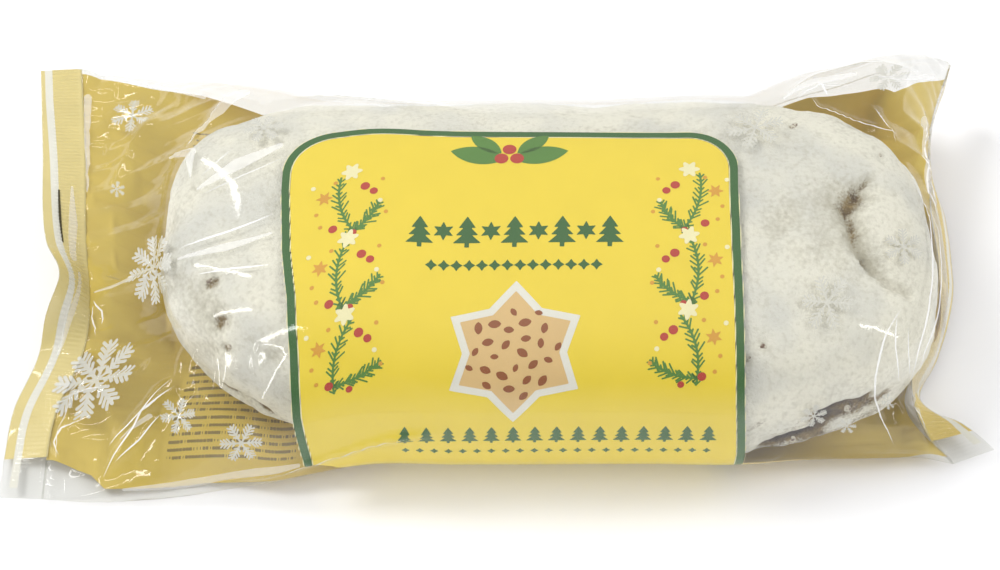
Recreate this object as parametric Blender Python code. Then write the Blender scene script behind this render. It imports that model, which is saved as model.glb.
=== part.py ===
"""A sugared stollen sealed in a clear flow-wrap pack, as the one closed solid of its film.

The loaf's middle stands over the point (0, 0) of the sizes below. The finished solid is then shifted
so that the origin is the middle of the bottom of its box. +X runs along the loaf, +Z is up.

The pack is a loft between unlike sections: flat, bent end seals and an arched middle. Its sheet of
reference is a Coons patch spanned by the two end seals and the two folded long edges. The upper web
of film stands above that sheet by the crown, the lower web lies below it, flat on the ground under
the loaf, and each end seal runs on past the patch as a thin flat band.
"""

import bmesh
import bpy
import numpy as np

# Sizes in metres
SEAL_BAND = 0.0145  # width of the crimped band across each end
SEAL_THICKNESS = 0.0022  # both webs and their crimp waves
CROWN_HEIGHT = 0.0640  # top of the film above the ground
ROWS_BETWEEN_SEALS = 76  # lengthwise steps of the loft
ROWS_ON_SEAL = 2  # lengthwise steps across each seal band
POINTS_ACROSS = 28  # points of each web from the near fold to the far fold
BAND_SQUARENESS = 0.55  # how much a band keeps to the pack's long axis rather than to its bent seal
END_LEAN_OVER = 0.12  # share of the length over which the seals turn the film's gap
UPRIGHT_SHARE = 0.15  # how much of the upright the gap's direction always keeps
RIGHT_RISE_SHARE = 0.5  # the right end rises over this share of the left end's length

# Inner line of each end seal from the near corner to the far corner, and how far its band tilts up
LEFT_SEAL = (
    (-0.1672, -0.0725, 0.0035),
    (-0.1660, -0.0440, 0.0055),
    (-0.1572, -0.0170, 0.0110),
    (-0.1561, -0.0037, 0.0170),
    (-0.1590, 0.0150, 0.0190),
    (-0.1637, 0.0550, 0.0165),
    (-0.1696, 0.0965, 0.0140),
)
LEFT_TILT = (0.0, -8.0, 10.0, 54.0, 32.0, 8.0, 4.0)  # degrees
RIGHT_SEAL = (
    (0.1340, -0.0595, 0.0035),
    (0.1255, -0.0500, 0.0075),
    (0.1205, -0.0360, 0.0160),
    (0.1280, -0.0180, 0.0185),
    (0.1325, 0.0020, 0.0215),
    (0.1325, 0.0300, 0.0235),
    (0.1350, 0.0600, 0.0260),
    (0.1440, 0.0865, 0.0290),
)
RIGHT_TILT = (2.0, -12.0, -66.0, -68.0, -64.0, -58.0, -84.0, -88.0)  # degrees

# Folded long edges between the seals, from left to right
NEAR_FOLD = (
    (-0.1672, -0.0725, 0.0035),
    (-0.1500, -0.0728, 0.0030),
    (-0.1350, -0.0720, 0.0030),
    (-0.1200, -0.0706, 0.0032),
    (-0.1050, -0.0695, 0.0055),
    (-0.0900, -0.0690, 0.0095),
    (-0.0755, -0.0663, 0.0112),
    (-0.0620, -0.0650, 0.0150),
    (-0.0300, -0.0656, 0.0170),
    (0.0300, -0.0656, 0.0180),
    (0.0700, -0.0650, 0.0165),
    (0.0830, -0.0624, 0.0122),
    (0.0950, -0.0608, 0.0102),
    (0.1120, -0.0598, 0.0090),
    (0.1220, -0.0590, 0.0075),
    (0.1340, -0.0595, 0.0035),
)
FAR_FOLD = (
    (-0.1696, 0.0965, 0.0140),
    (-0.1500, 0.0910, 0.0150),
    (-0.1250, 0.0858, 0.0165),
    (-0.0985, 0.0758, 0.0180),
    (-0.0800, 0.0690, 0.0185),
    (-0.0510, 0.0664, 0.0190),
    (0.0000, 0.0660, 0.0190),
    (0.0500, 0.0662, 0.0195),
    (0.0680, 0.0672, 0.0210),
    (0.0800, 0.0720, 0.0240),
    (0.0900, 0.0748, 0.0262),
    (0.1010, 0.0770, 0.0275),
    (0.1240, 0.0845, 0.0300),
    (0.1440, 0.0865, 0.0290),
)

# Ridge of the upper web above the ground, as a share of CROWN_HEIGHT, against its place along X
RIDGE_X = (-0.1575, -0.1400, -0.1220, -0.1040, -0.0820, -0.0500, 0.0, 0.05, 0.09, 0.112, 0.124, 0.1300, 0.1328)
RIDGE = (0.290, 0.465, 0.680, 0.835, 0.930, 0.985, 1.0, 0.995, 0.950, 0.850, 0.700, 0.520, 0.360)

# Shape of the arch of a section: a superellipse that is boxy over the loaf and peaked at the left end
ARCH_OVER_LOAF = 2.5
ARCH_AT_LEFT_END = 1.7
ARCH_CHANGES_OVER = (-0.150, -0.085)

# The flat on the ground: half of the web's width, and its span along X
FLAT_SHARE = 0.70
FLAT_FROM_X = -0.118
FLAT_TO_X = 0.116
RISE_LENGTH = 0.034  # over which the lower web climbs to the seal at each end

FILM_COLOUR = (0.80, 0.72, 0.38, 1.0)
FILM_ROUGHNESS = 0.25


def smooth_step(value, low, high):
    """0 below low, 1 above high, and an even S-curve between them."""
    share = np.clip((value - low) / (high - low), 0.0, 1.0)
    return share * share * (3.0 - 2.0 * share)


def spline(points, places):
    """A Catmull-Rom curve through the points, read at places from 0 to 1 of its chord length."""
    points = np.asarray(points, float)
    if points.ndim == 1:
        points = points[:, None]
    chords = np.linalg.norm(np.diff(points, axis=0), axis=1)
    knots = np.concatenate([[0.0], np.cumsum(chords)]) / chords.sum()
    return read_curve(knots, points, places)


def read_curve(knots, points, places):
    """Cubic Hermite pieces between the knots, with slopes taken from each knot's two neighbours."""
    slopes = np.gradient(points, knots, axis=0)
    piece = np.clip(np.searchsorted(knots, places, side="right") - 1, 0, len(knots) - 2)
    width = (knots[piece + 1] - knots[piece])[:, None]
    along = ((places - knots[piece]) / width[:, 0])[:, None]
    start_weight = 2 * along**3 - 3 * along**2 + 1
    start_slope_weight = along**3 - 2 * along**2 + along
    end_weight = 3 * along**2 - 2 * along**3
    end_slope_weight = along**3 - along**2
    return (
        start_weight * points[piece]
        + start_slope_weight * width * slopes[piece]
        + end_weight * points[piece + 1]
        + end_slope_weight * width * slopes[piece + 1]
    )


def seal_curve(points, tilts, outward, across):
    """(inner line, direction out along the band, normal of the band) at each step across the pack."""
    line = spline(points, across)
    chords = np.linalg.norm(np.diff(np.asarray(points), axis=0), axis=1)
    knots = np.concatenate([[0.0], np.cumsum(chords)]) / chords.sum()
    tilt = np.radians(read_curve(knots, np.asarray(tilts)[:, None], across))
    tangent = np.gradient(line, across, axis=0)
    tangent[:, 2] = 0.0
    tangent /= np.linalg.norm(tangent, axis=1, keepdims=True)
    level = np.stack([tangent[:, 1], -tangent[:, 0], np.zeros(len(across))], axis=1) * outward
    level = level * (1 - BAND_SQUARENESS) + np.array([outward, 0.0, 0.0]) * BAND_SQUARENESS
    level /= np.linalg.norm(level, axis=1, keepdims=True)
    up = np.array([0.0, 0.0, 1.0])
    out = level * np.cos(tilt) + up * np.sin(tilt)
    normal = up * np.cos(tilt) - level * np.sin(tilt)
    return line, out, normal


def coons_patch(near, far, left, right, along, across):
    """The sheet spanned by four edge curves, as an array of rows along by steps across by 3."""
    u = along[:, None, None]
    q = across[None, :, None]
    between_folds = (1 - q) * near[:, None] + q * far[:, None]
    between_seals = (1 - u) * left[None] + u * right[None]
    corners = (1 - u) * ((1 - q) * left[0] + q * left[-1]) + u * ((1 - q) * right[0] + q * right[-1])
    return between_folds + between_seals - corners


def webs(along, across):
    """The upper and the lower web of film, each as a grid of points from seal to seal."""
    left, left_out, left_normal = seal_curve(LEFT_SEAL, LEFT_TILT, -1.0, across)
    right, right_out, right_normal = seal_curve(RIGHT_SEAL, RIGHT_TILT, 1.0, across)
    near = spline(NEAR_FOLD, along)
    far = spline(FAR_FOLD, along)
    sheet = coons_patch(near, far, left, right, along, across)

    place = sheet[:, :, 0]
    side = np.abs(2 * across - 1)[None, :]
    boxiness = smooth_step(place, *ARCH_CHANGES_OVER)
    power = ARCH_AT_LEFT_END + (ARCH_OVER_LOAF - ARCH_AT_LEFT_END) * boxiness
    arch = (1 - side**power) ** (1 / power)

    middle = place[:, len(across) // 2]
    ridge = read_curve(np.array(RIDGE_X), np.array(RIDGE)[:, None], np.clip(middle, RIDGE_X[0], RIDGE_X[-1]))
    crown = np.clip(ridge * CROWN_HEIGHT - sheet[:, len(across) // 2, 2:3], 0.0, None)

    ends = smooth_step(-place, -FLAT_FROM_X, -FLAT_FROM_X + RISE_LENGTH)
    ends = np.maximum(ends, smooth_step(place, FLAT_TO_X, FLAT_TO_X + RIGHT_RISE_SHARE * RISE_LENGTH))
    sides = 1 - np.sqrt(1 - np.clip((side - FLAT_SHARE) / (1 - FLAT_SHARE), 0.0, 1.0) ** 2)
    lift = 1 - (1 - ends) * (1 - sides)

    half = SEAL_THICKNESS / 2
    u = along[:, None, None]
    left_share = (1 - smooth_step(u, 0.0, END_LEAN_OVER)) * left_normal[None]
    right_share = smooth_step(u, 1 - END_LEAN_OVER, 1.0) * right_normal[None]
    normal = left_share + right_share + np.array([0.0, 0.0, UPRIGHT_SHARE])
    normal /= np.linalg.norm(normal, axis=2, keepdims=True)

    upper = sheet + half * normal
    upper[:, :, 2] += crown * arch
    lower = sheet - half * normal
    lower[:, :, 2] *= lift

    steps = np.linspace(0.0, SEAL_BAND, ROWS_ON_SEAL + 1)[1:, None, None]
    left_upper = upper[:1] + steps[::-1] * left_out[None]
    left_lower = lower[:1] + steps[::-1] * left_out[None]
    right_upper = upper[-1:] + steps * right_out[None]
    right_lower = lower[-1:] + steps * right_out[None]
    upper = np.concatenate([left_upper, upper, right_upper])
    lower = np.concatenate([left_lower, lower, right_lower])
    upper[:, :, 2] = np.maximum(upper[:, :, 2], SEAL_THICKNESS)
    lower[:, :, 2] = np.maximum(lower[:, :, 2], 0.0)
    return upper, lower


def close_loft(upper, lower):
    """Points and faces of the closed skin: one ring of points to each row, and a cap of quads at each end."""
    rows, steps = upper.shape[:2]
    rings = np.concatenate([upper, lower[:, ::-1]], axis=1)
    around = rings.shape[1]
    index = np.arange(rows * around).reshape(rows, around)
    turned = np.roll(index, -1, axis=1)
    skin = np.stack([index[:-1], index[1:], turned[1:], turned[:-1]], axis=2).reshape(-1, 4)
    caps = []
    for row, flip in ((0, False), (rows - 1, True)):
        top = index[row, :steps]
        bottom = index[row, steps:][::-1]
        cap = np.stack([top[:-1], top[1:], bottom[1:], bottom[:-1]], axis=1)
        caps.append(cap[:, ::-1] if flip else cap)
    return rings.reshape(-1, 3), np.concatenate([skin, *caps])


def centre_on_box(points):
    """Shift the points so that the origin is the middle of the bottom of their box."""
    low = points.min(axis=0)
    high = points.max(axis=0)
    return points - np.array([(low[0] + high[0]) / 2, (low[1] + high[1]) / 2, low[2]])


def film_material():
    """Clear film over gold print, in one plain colour."""
    material = bpy.data.materials.new("gold_printed_film")
    material.use_nodes = True
    shader = material.node_tree.nodes["Principled BSDF"]
    shader.inputs["Base Color"].default_value = FILM_COLOUR
    shader.inputs["Roughness"].default_value = FILM_ROUGHNESS
    shader.inputs["Metallic"].default_value = 0.0
    return material


def film_pack(collection):
    """The sealed pack as one closed solid."""
    along = np.linspace(0.0, 1.0, ROWS_BETWEEN_SEALS + 1)
    # Steps crowd towards the folds, where the arch rises steeply
    across = 0.5 - 0.5 * np.cos(np.linspace(0.0, np.pi, POINTS_ACROSS))
    points, faces = close_loft(*webs(along, across))
    mesh = bpy.data.meshes.new("film_pack")
    mesh.from_pydata(centre_on_box(points).tolist(), [], faces.tolist())
    shape = bmesh.new()
    shape.from_mesh(mesh)
    bmesh.ops.remove_doubles(shape, verts=shape.verts, dist=1e-6)
    bmesh.ops.recalc_face_normals(shape, faces=shape.faces)
    shape.to_mesh(mesh)
    shape.free()
    mesh.shade_smooth()
    mesh.materials.append(film_material())
    pack = bpy.data.objects.new("film_pack", mesh)
    collection.objects.link(pack)
    return pack


def main():
    for old in list(bpy.data.objects):
        bpy.data.objects.remove(old)
    collection = bpy.data.collections.new("wrapped_stollen")
    bpy.context.scene.collection.children.link(collection)
    film_pack(collection)


main()
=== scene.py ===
"""A sugared stollen in its sealed, printed flow-wrap pack: the looks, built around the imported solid.

The film is a fine grid over the form of the pack. Its rest lengths are a little longer than that form,
so it buckles into creases over the loaf. Every printed colour is a thin sheet just under the film, cut
to its outline and laid on it by two coordinates: x along the loaf, and s, the way around the film from
the near long edge.
"""

import logging
import math
from dataclasses import dataclass, field
from enum import Enum
from typing import Callable, Optional, Sequence

import bpy
import numpy as np
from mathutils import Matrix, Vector


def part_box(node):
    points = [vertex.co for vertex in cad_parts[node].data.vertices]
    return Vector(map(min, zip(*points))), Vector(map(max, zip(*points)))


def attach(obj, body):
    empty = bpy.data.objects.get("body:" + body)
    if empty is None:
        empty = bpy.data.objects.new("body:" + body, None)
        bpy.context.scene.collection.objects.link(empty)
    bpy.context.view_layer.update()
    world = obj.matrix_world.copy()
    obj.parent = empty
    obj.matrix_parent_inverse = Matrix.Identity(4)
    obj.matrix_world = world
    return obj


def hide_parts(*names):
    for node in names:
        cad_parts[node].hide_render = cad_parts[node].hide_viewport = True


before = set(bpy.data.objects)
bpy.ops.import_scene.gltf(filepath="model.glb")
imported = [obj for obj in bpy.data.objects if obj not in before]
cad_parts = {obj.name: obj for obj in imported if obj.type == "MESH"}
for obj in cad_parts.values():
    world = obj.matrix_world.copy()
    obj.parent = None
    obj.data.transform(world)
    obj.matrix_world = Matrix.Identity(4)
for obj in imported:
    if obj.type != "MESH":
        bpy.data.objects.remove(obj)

LOG = logging.getLogger("stollen")
MM = 0.001
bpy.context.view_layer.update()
PACK_NODE = "film_pack"
BODY = "root"
Array = np.ndarray


# ---------------------------------------------------------------------------------------------
# Small tools: curves, noise, meshes
# ---------------------------------------------------------------------------------------------


def smooth_step(value: Array, low: float, high: float) -> Array:
    """0 below low, 1 above high, and the S-curve 3t^2 - 2t^3 between them."""
    share = np.clip((value - low) / (high - low), 0.0, 1.0)
    return share * share * (3.0 - 2.0 * share)


def hermite(knots: Array, values: Array, places: Array) -> Array:
    """Read a smooth curve through values at knots.

    Each stretch is a cubic Hermite piece whose end slopes are the central differences at its knots.

    Args:
        knots: rising places of the values, (n,).
        values: the values, (n, k).
        places: where to read, (m,).

    Returns:
        The curve's values, (m, k).
    """
    slopes = np.gradient(values, knots, axis=0)
    piece = np.clip(np.searchsorted(knots, places, side="right") - 1, 0, len(knots) - 2)
    width = (knots[piece + 1] - knots[piece])[:, None]
    t = ((places - knots[piece]) / width[:, 0])[:, None]
    start = (2 * t**3 - 3 * t**2 + 1) * values[piece] + (t**3 - 2 * t**2 + t) * width * slopes[piece]
    end = (3 * t**2 - 2 * t**3) * values[piece + 1] + (t**3 - t**2) * width * slopes[piece + 1]
    return start + end


def chord_knots(points: Array) -> Array:
    """Places from 0 to 1 of the points along their own chord length."""
    chords = np.linalg.norm(np.diff(points, axis=0), axis=1)
    return np.concatenate([[0.0], np.cumsum(chords)]) / chords.sum()


def even_rows(grid: Array, count: int) -> Array:
    """Re-space the points of each row evenly along the row's own length.

    Args:
        grid: rows of points, (rows, n, 3).
        count: points in each new row.

    Returns:
        The new rows, (rows, count, 3), and each row's length, (rows,).
    """
    steps = np.linalg.norm(np.diff(grid, axis=1), axis=2)
    reach = np.concatenate([np.zeros((len(grid), 1)), np.cumsum(steps, axis=1)], axis=1)
    length = reach[:, -1].copy()
    reach /= length[:, None]
    offset = 2.0 * np.arange(len(grid))[:, None]
    wanted = (np.linspace(0.0, 1.0, count)[None] + offset).ravel()
    given = (reach + offset).ravel()
    columns = [np.interp(wanted, given, grid[..., k].ravel()) for k in range(3)]
    return np.stack(columns, axis=-1).reshape(len(grid), count, 3), length


def lattice_noise(points: Array, cell: float, seed: int) -> Array:
    """Smooth noise from -1 to 1: random values on a cubic lattice, blended with S-curves between its corners.

    Args:
        points: places, (..., 3), in metres.
        cell: lattice spacing in metres.
        seed: which random lattice.

    Returns:
        One value for each point.
    """
    size = 32
    table = np.random.default_rng(seed).uniform(-1.0, 1.0, (size, size, size))
    scaled = points / cell + 101.37
    corner = np.floor(scaled).astype(int)
    share = scaled - corner
    share = share * share * (3.0 - 2.0 * share)
    total = np.zeros(points.shape[:-1])
    for bits in range(8):
        step = np.array([bits & 1, bits >> 1 & 1, bits >> 2 & 1])
        at = (corner + step) % size
        weight = np.prod(np.where(step == 1, share, 1.0 - share), axis=-1)
        total += weight * table[at[..., 0], at[..., 1], at[..., 2]]
    return total


def layered_noise(points: Array, cell: float, octaves: int, seed: int) -> Array:
    """Sum of lattice noise whose cell and height halve at each octave."""
    total = np.zeros(points.shape[:-1])
    for octave in range(octaves):
        total += lattice_noise(points, cell / 2**octave, seed + octave) / 2**octave
    return total


def grid_faces(rows: int, columns: int, closed: bool = False) -> Array:
    """Quads of a grid of rows x columns points, closed around its columns if asked."""
    index = np.arange(rows * columns).reshape(rows, columns)
    if closed:
        index = np.concatenate([index, index[:, :1]], axis=1)
    corners = [index[:-1, :-1], index[1:, :-1], index[1:, 1:], index[:-1, 1:]]
    return np.stack(corners, axis=-1).reshape(-1, 4)


def grid_normals(grid: Array, closed: bool) -> Array:
    """Unit normals of a grid: the cross product of its central differences along both directions."""
    along = np.gradient(grid, axis=0)
    if closed:
        around = np.roll(grid, -1, axis=1) - np.roll(grid, 1, axis=1)
    else:
        around = np.gradient(grid, axis=1)
    normal = np.cross(along, around)
    return normal / np.maximum(np.linalg.norm(normal, axis=-1, keepdims=True), 1e-12)


def shell_faces(rows: int, half: int) -> Array:
    """Triangles of a closed shell whose rows are rings: half points on one face, then half back on the other."""
    count = 2 * half
    quads = grid_faces(rows, count, closed=True)
    for row, flip in ((0, False), (rows - 1, True)):
        top = row * count + np.arange(half)
        bottom = row * count + np.arange(count - 1, half - 1, -1)
        cap = np.stack([top[:-1], top[1:], bottom[1:], bottom[:-1]], axis=1)
        quads = np.concatenate([quads, cap[:, ::-1] if flip else cap])
    return np.concatenate([quads[:, [0, 1, 2]], quads[:, [0, 2, 3]]])


def make_object(
    name: str,
    points: Array,
    faces: Sequence[Array],
    material: bpy.types.Material,
    uv: Optional[Array] = None,
    marks: Optional[dict[str, Array]] = None,
) -> bpy.types.Object:
    """Put arrays into a mesh object that rides on the pack's only body.

    Args:
        name: the piece's name.
        points: places, (n, 3).
        faces: arrays of face corners, each (m, 3) or (m, 4).
        material: its finish.
        uv: one (u, v) pair for each point, laid on the corners.
        marks: named numbers for each point, for the material to read.

    Returns:
        The object.
    """
    mesh = bpy.data.meshes.new(name)
    corners = np.concatenate([part.ravel() for part in faces]).astype(np.int32)
    sizes = np.concatenate([np.full(len(part), part.shape[1]) for part in faces])
    mesh.vertices.add(len(points))
    mesh.vertices.foreach_set("co", np.ascontiguousarray(points, np.float32).ravel())
    mesh.loops.add(len(corners))
    mesh.loops.foreach_set("vertex_index", corners)
    mesh.polygons.add(len(sizes))
    mesh.polygons.foreach_set("loop_start", (np.cumsum(sizes) - sizes).astype(np.int32))
    mesh.update(calc_edges=True)
    if uv is not None:
        layer = mesh.uv_layers.new(name="film")
        layer.data.foreach_set("uv", uv[corners].astype(np.float32).ravel())
    for mark, values in (marks or {}).items():
        attribute = mesh.attributes.new(mark, "FLOAT", "POINT")
        attribute.data.foreach_set("value", values.astype(np.float32).ravel())
    mesh.shade_smooth()
    mesh.validate()
    mesh.materials.append(material)
    piece = bpy.data.objects.new(name, mesh)
    bpy.context.scene.collection.objects.link(piece)
    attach(piece, BODY)
    LOG.info("%s: %d points, %d faces", name, len(points), len(sizes))
    return piece


# ---------------------------------------------------------------------------------------------
# Finishes
# ---------------------------------------------------------------------------------------------


def linear(colour: str) -> tuple[float, float, float, float]:
    """An sRGB hex colour as linear RGBA: c / 12.92 when dark, else ((c + 0.055) / 1.055) ^ 2.4."""
    channels = [int(colour[i : i + 2], 16) / 255.0 for i in (1, 3, 5)]
    return (*(c / 12.92 if c <= 0.04045 else ((c + 0.055) / 1.055) ** 2.4 for c in channels), 1.0)


def add_node(tree: bpy.types.NodeTree, kind: str, inputs: Optional[dict] = None, **settings) -> bpy.types.Node:
    """Add one shader node.

    Args:
        tree: the material's node tree.
        kind: the node's type, without the words ShaderNode.
        inputs: input name or number to a value, or to the output socket that feeds it.
        **settings: the node's own properties.

    Returns:
        The node.
    """
    node = tree.nodes.new("ShaderNode" + kind)
    for name, value in settings.items():
        setattr(node, name, value)
    for name, value in (inputs or {}).items():
        if isinstance(value, bpy.types.NodeSocket):
            tree.links.new(value, node.inputs[name])
        else:
            node.inputs[name].default_value = value
    return node


def new_material(name: str) -> tuple[bpy.types.Material, bpy.types.NodeTree, bpy.types.Node]:
    """An empty node material: the material, its tree and its output node."""
    material = bpy.data.materials.new(name)
    material.use_nodes = True
    tree = material.node_tree
    tree.nodes.clear()
    return material, tree, add_node(tree, "OutputMaterial")


@dataclass(frozen=True)
class ClearFilm:
    """Biaxially oriented polypropylene film, drawn thin and glossy: it shows hard glints on every crease
    and a faint grey where it is seen edge on."""

    name: str = "clear_polypropylene_film"
    clarity: str = "#F7F7F5"
    haze: float = 0.015  # share of light that the film scatters
    head_on: float = 0.075  # share mirrored by the film's two faces, seen square on
    roughness: float = 0.07
    crinkle: float = 5.0 * MM  # size of the faint waves left by the rollers

    def material(self) -> bpy.types.Material:
        """Clear film mixed with a mirror by Schlick's rule: head_on + (1 - head_on) * facing ^ 5."""
        material, tree, output = new_material(self.name)
        place = add_node(tree, "TexCoord")
        waves = add_node(
            tree, "TexNoise", {"Vector": place.outputs["Object"], "Scale": 1 / self.crinkle, "Detail": 2.0}
        )
        bump = add_node(tree, "Bump", {"Height": waves.outputs["Fac"], "Strength": 0.25, "Distance": 0.2 * MM})
        facing = add_node(tree, "LayerWeight", {"Blend": 0.5, "Normal": bump.outputs[0]})
        rise = add_node(tree, "Math", {0: facing.outputs["Facing"], 1: 5.0}, operation="POWER")
        mirror = add_node(
            tree, "Math", {0: rise.outputs[0], 1: 0.85 - self.head_on, 2: self.head_on}, operation="MULTIPLY_ADD"
        )
        clear = add_node(tree, "BsdfTransparent", {"Color": linear(self.clarity)})
        cloud = add_node(tree, "BsdfDiffuse", {"Color": linear("#FFFFFF")})
        body = add_node(tree, "MixShader", {0: self.haze, 1: clear.outputs[0], 2: cloud.outputs[0]})
        gloss = add_node(
            tree,
            "BsdfAnisotropic",
            {"Color": linear("#FFFFFF"), "Roughness": self.roughness, "Normal": bump.outputs[0]},
            distribution="GGX",
        )
        film = add_node(tree, "MixShader", {0: mirror.outputs[0], 1: body.outputs[0], 2: gloss.outputs[0]})
        tree.links.new(film.outputs[0], output.inputs["Surface"])
        return material


@dataclass(frozen=True)
class Ink:
    """Gravure ink on the film's inner face: flat colour with a faint unevenness from cell to cell."""

    name: str
    colour: str
    uneven: float = 0.06  # how much lighter or darker the patches are
    patch: float = 12.0 * MM
    metallic: float = 0.0
    roughness: float = 0.55
    cover: float = 1.0  # share of the surface that the ink hides

    def material(self) -> bpy.types.Material:
        """Principled ink whose brightness follows soft noise and a fine grain."""
        material, tree, output = new_material(self.name)
        place = add_node(tree, "TexCoord")
        broad = add_node(
            tree, "TexNoise", {"Vector": place.outputs["Object"], "Scale": 1 / self.patch, "Detail": 3.0}
        )
        grain = add_node(
            tree, "TexNoise", {"Vector": place.outputs["Object"], "Scale": 1 / (0.5 * MM), "Detail": 1.0}
        )
        both = add_node(
            tree, "Math", {0: grain.outputs["Fac"], 1: 0.35, 2: broad.outputs["Fac"]}, operation="MULTIPLY_ADD"
        )
        value = add_node(
            tree,
            "MapRange",
            {"Value": both.outputs[0], "From Min": 0.35, "From Max": 1.0, "To Min": 1 - self.uneven, "To Max": 1 + self.uneven},
        )
        tint = add_node(tree, "HueSaturation", {"Value": value.outputs[0], "Color": linear(self.colour)})
        shader = add_node(
            tree,
            "BsdfPrincipled",
            {
                "Base Color": tint.outputs[0],
                "Metallic": self.metallic,
                "Roughness": self.roughness,
                "Specular IOR Level": 0.25,
            },
        )
        if self.cover < 1:
            clear = add_node(tree, "BsdfTransparent", {"Color": linear("#FFFFFF")})
            shader = add_node(tree, "MixShader", {0: self.cover, 1: clear.outputs[0], 2: shader.outputs[0]})
        tree.links.new(shader.outputs[0], output.inputs["Surface"])
        return material


@dataclass(frozen=True)
class Raisin:
    """Dark, shrunken dried grape with a dull skin and a dusting of sugar in its wrinkles."""

    name: str = "raisin_skin"
    skin: str = "#6F5544"
    dust: str = "#D6D0C0"
    patch: float = 1.3 * MM

    def material(self) -> bpy.types.Material:
        """Dark skin and dust mixed by noise."""
        material, tree, output = new_material(self.name)
        place = add_node(tree, "TexCoord").outputs["Object"]
        noise = add_node(tree, "TexNoise", {"Vector": place, "Scale": 1 / self.patch, "Detail": 3.0})
        cover = add_node(tree, "MapRange", {"Value": noise.outputs["Fac"], "From Min": 0.36, "From Max": 0.56})
        colour = add_node(
            tree, "Mix", {"Factor": cover.outputs[0], 6: linear(self.skin), 7: linear(self.dust)}, data_type="RGBA"
        )
        bump = add_node(tree, "Bump", {"Height": noise.outputs["Fac"], "Strength": 0.5, "Distance": 0.4 * MM})
        shader = add_node(
            tree, "BsdfPrincipled", {"Base Color": colour.outputs[2], "Roughness": 0.55, "Normal": bump.outputs[0]}
        )
        tree.links.new(shader.outputs[0], output.inputs["Surface"])
        return material


@dataclass(frozen=True)
class SugaredCrust:
    """Baked dough rolled in icing sugar: a soft white powder with grains, over a brown crust that shows
    where the mark "bare" is high."""

    name: str = "icing_sugar_on_crust"
    sugar: str = "#F5F2E4"
    thin_sugar: str = "#E2E1D9"
    # The grey sugar colour below is partly random grey flecks and partly painted shade, laid darker in the crust's
    # hollows and dents the deeper they sink.
    damp_and_shaded_sugar: str = "#C0BBA9"
    crust: str = "#917B4C"
    dark_crust: str = "#5A4629"
    burnt_crust_and_shade: str = "#302214"
    grain: float = 0.9 * MM  # clumps of sugar
    speck: float = 1.6 * MM  # flecks where the sugar has drawn moisture
    drift: float = 24 * MM  # where the sugar lies thick or thin

    def material(self) -> bpy.types.Material:
        """Sugar and crust mixed where bare + grain noise passes a limit, with powder bump at two scales.

        The crust goes from brown to burnt as the same sum rises further; this darkest crust is partly painted shade
        where the barest dents lie along the loaf's lower near edge.
        """
        material, tree, output = new_material(self.name)
        place = add_node(tree, "TexCoord").outputs["Object"]
        bare = add_node(tree, "Attribute", attribute_name="bare")
        clumps = add_node(tree, "TexNoise", {"Vector": place, "Scale": 1 / self.grain, "Detail": 3.0, "Roughness": 0.65})
        patches = add_node(tree, "TexNoise", {"Vector": place, "Scale": 1 / (3 * MM), "Detail": 4.0})
        toast = add_node(tree, "MapRange", {"Value": patches.outputs["Fac"], "From Min": 0.35, "From Max": 0.65})
        edge = add_node(
            tree, "Math", {0: clumps.outputs["Fac"], 1: 0.9, 2: bare.outputs["Fac"]}, operation="MULTIPLY_ADD"
        )
        cover = add_node(tree, "MapRange", {"Value": edge.outputs[0], "From Min": 0.8, "From Max": 1.15})
        # This mark is painted shade in the hollows and dents, darker where they sink further; the speck noise adds
        # random grey flecks to it.
        damp_and_hollow_shade = add_node(tree, "Attribute", attribute_name="damp_and_hollow_shade")
        specks = add_node(tree, "TexNoise", {"Vector": place, "Scale": 1 / self.speck, "Detail": 2.0})
        specks_and_hollow_shade = add_node(
            tree, "Math", {0: specks.outputs["Fac"], 1: 1.5, 2: damp_and_hollow_shade.outputs["Fac"]}, operation="MULTIPLY_ADD"
        )
        dull = add_node(tree, "MapRange", {"Value": specks_and_hollow_shade.outputs[0], "From Min": 0.75, "From Max": 1.75})
        drifts = add_node(tree, "TexNoise", {"Vector": place, "Scale": 1 / self.drift, "Detail": 2.0})
        thin = add_node(tree, "MapRange", {"Value": drifts.outputs["Fac"], "From Min": 0.40, "From Max": 0.66})
        powdered = add_node(
            tree,
            "Mix",
            {"Factor": thin.outputs[0], 6: linear(self.sugar), 7: linear(self.thin_sugar)},
            data_type="RGBA",
        )
        white = add_node(
            tree,
            "Mix",
            {"Factor": dull.outputs[0], 6: powdered.outputs[2], 7: linear(self.damp_and_shaded_sugar)},
            data_type="RGBA",
        )
        brown = add_node(
            tree,
            "Mix",
            {"Factor": toast.outputs[0], 6: linear(self.crust), 7: linear(self.dark_crust)},
            data_type="RGBA",
        )
        scorch_and_shade = add_node(tree, "MapRange", {"Value": edge.outputs[0], "From Min": 1.15, "From Max": 1.90})
        baked = add_node(
            tree,
            "Mix",
            {"Factor": scorch_and_shade.outputs[0], 6: brown.outputs[2], 7: linear(self.burnt_crust_and_shade)},
            data_type="RGBA",
        )
        colour = add_node(
            tree, "Mix", {"Factor": cover.outputs[0], 6: white.outputs[2], 7: baked.outputs[2]}, data_type="RGBA"
        )
        coarse = add_node(
            tree, "Bump", {"Height": clumps.outputs["Fac"], "Strength": 0.7, "Distance": 0.7 * MM}
        )
        fine = add_node(tree, "TexNoise", {"Vector": place, "Scale": 1 / (0.35 * MM), "Detail": 2.0})
        powder = add_node(
            tree,
            "Bump",
            {"Height": fine.outputs["Fac"], "Strength": 0.4, "Distance": 0.25 * MM, "Normal": coarse.outputs[0]},
        )
        shader = add_node(
            tree,
            "BsdfPrincipled",
            {"Base Color": colour.outputs[2], "Roughness": 0.95, "Specular IOR Level": 0.1, "Normal": powder.outputs[0]},
        )
        shader.inputs["Sheen Weight"].default_value = 0.15
        tree.links.new(shader.outputs[0], output.inputs["Surface"])
        return material


# ---------------------------------------------------------------------------------------------
# The form of the pack, in the CAD solid's own sizes
# ---------------------------------------------------------------------------------------------


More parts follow.
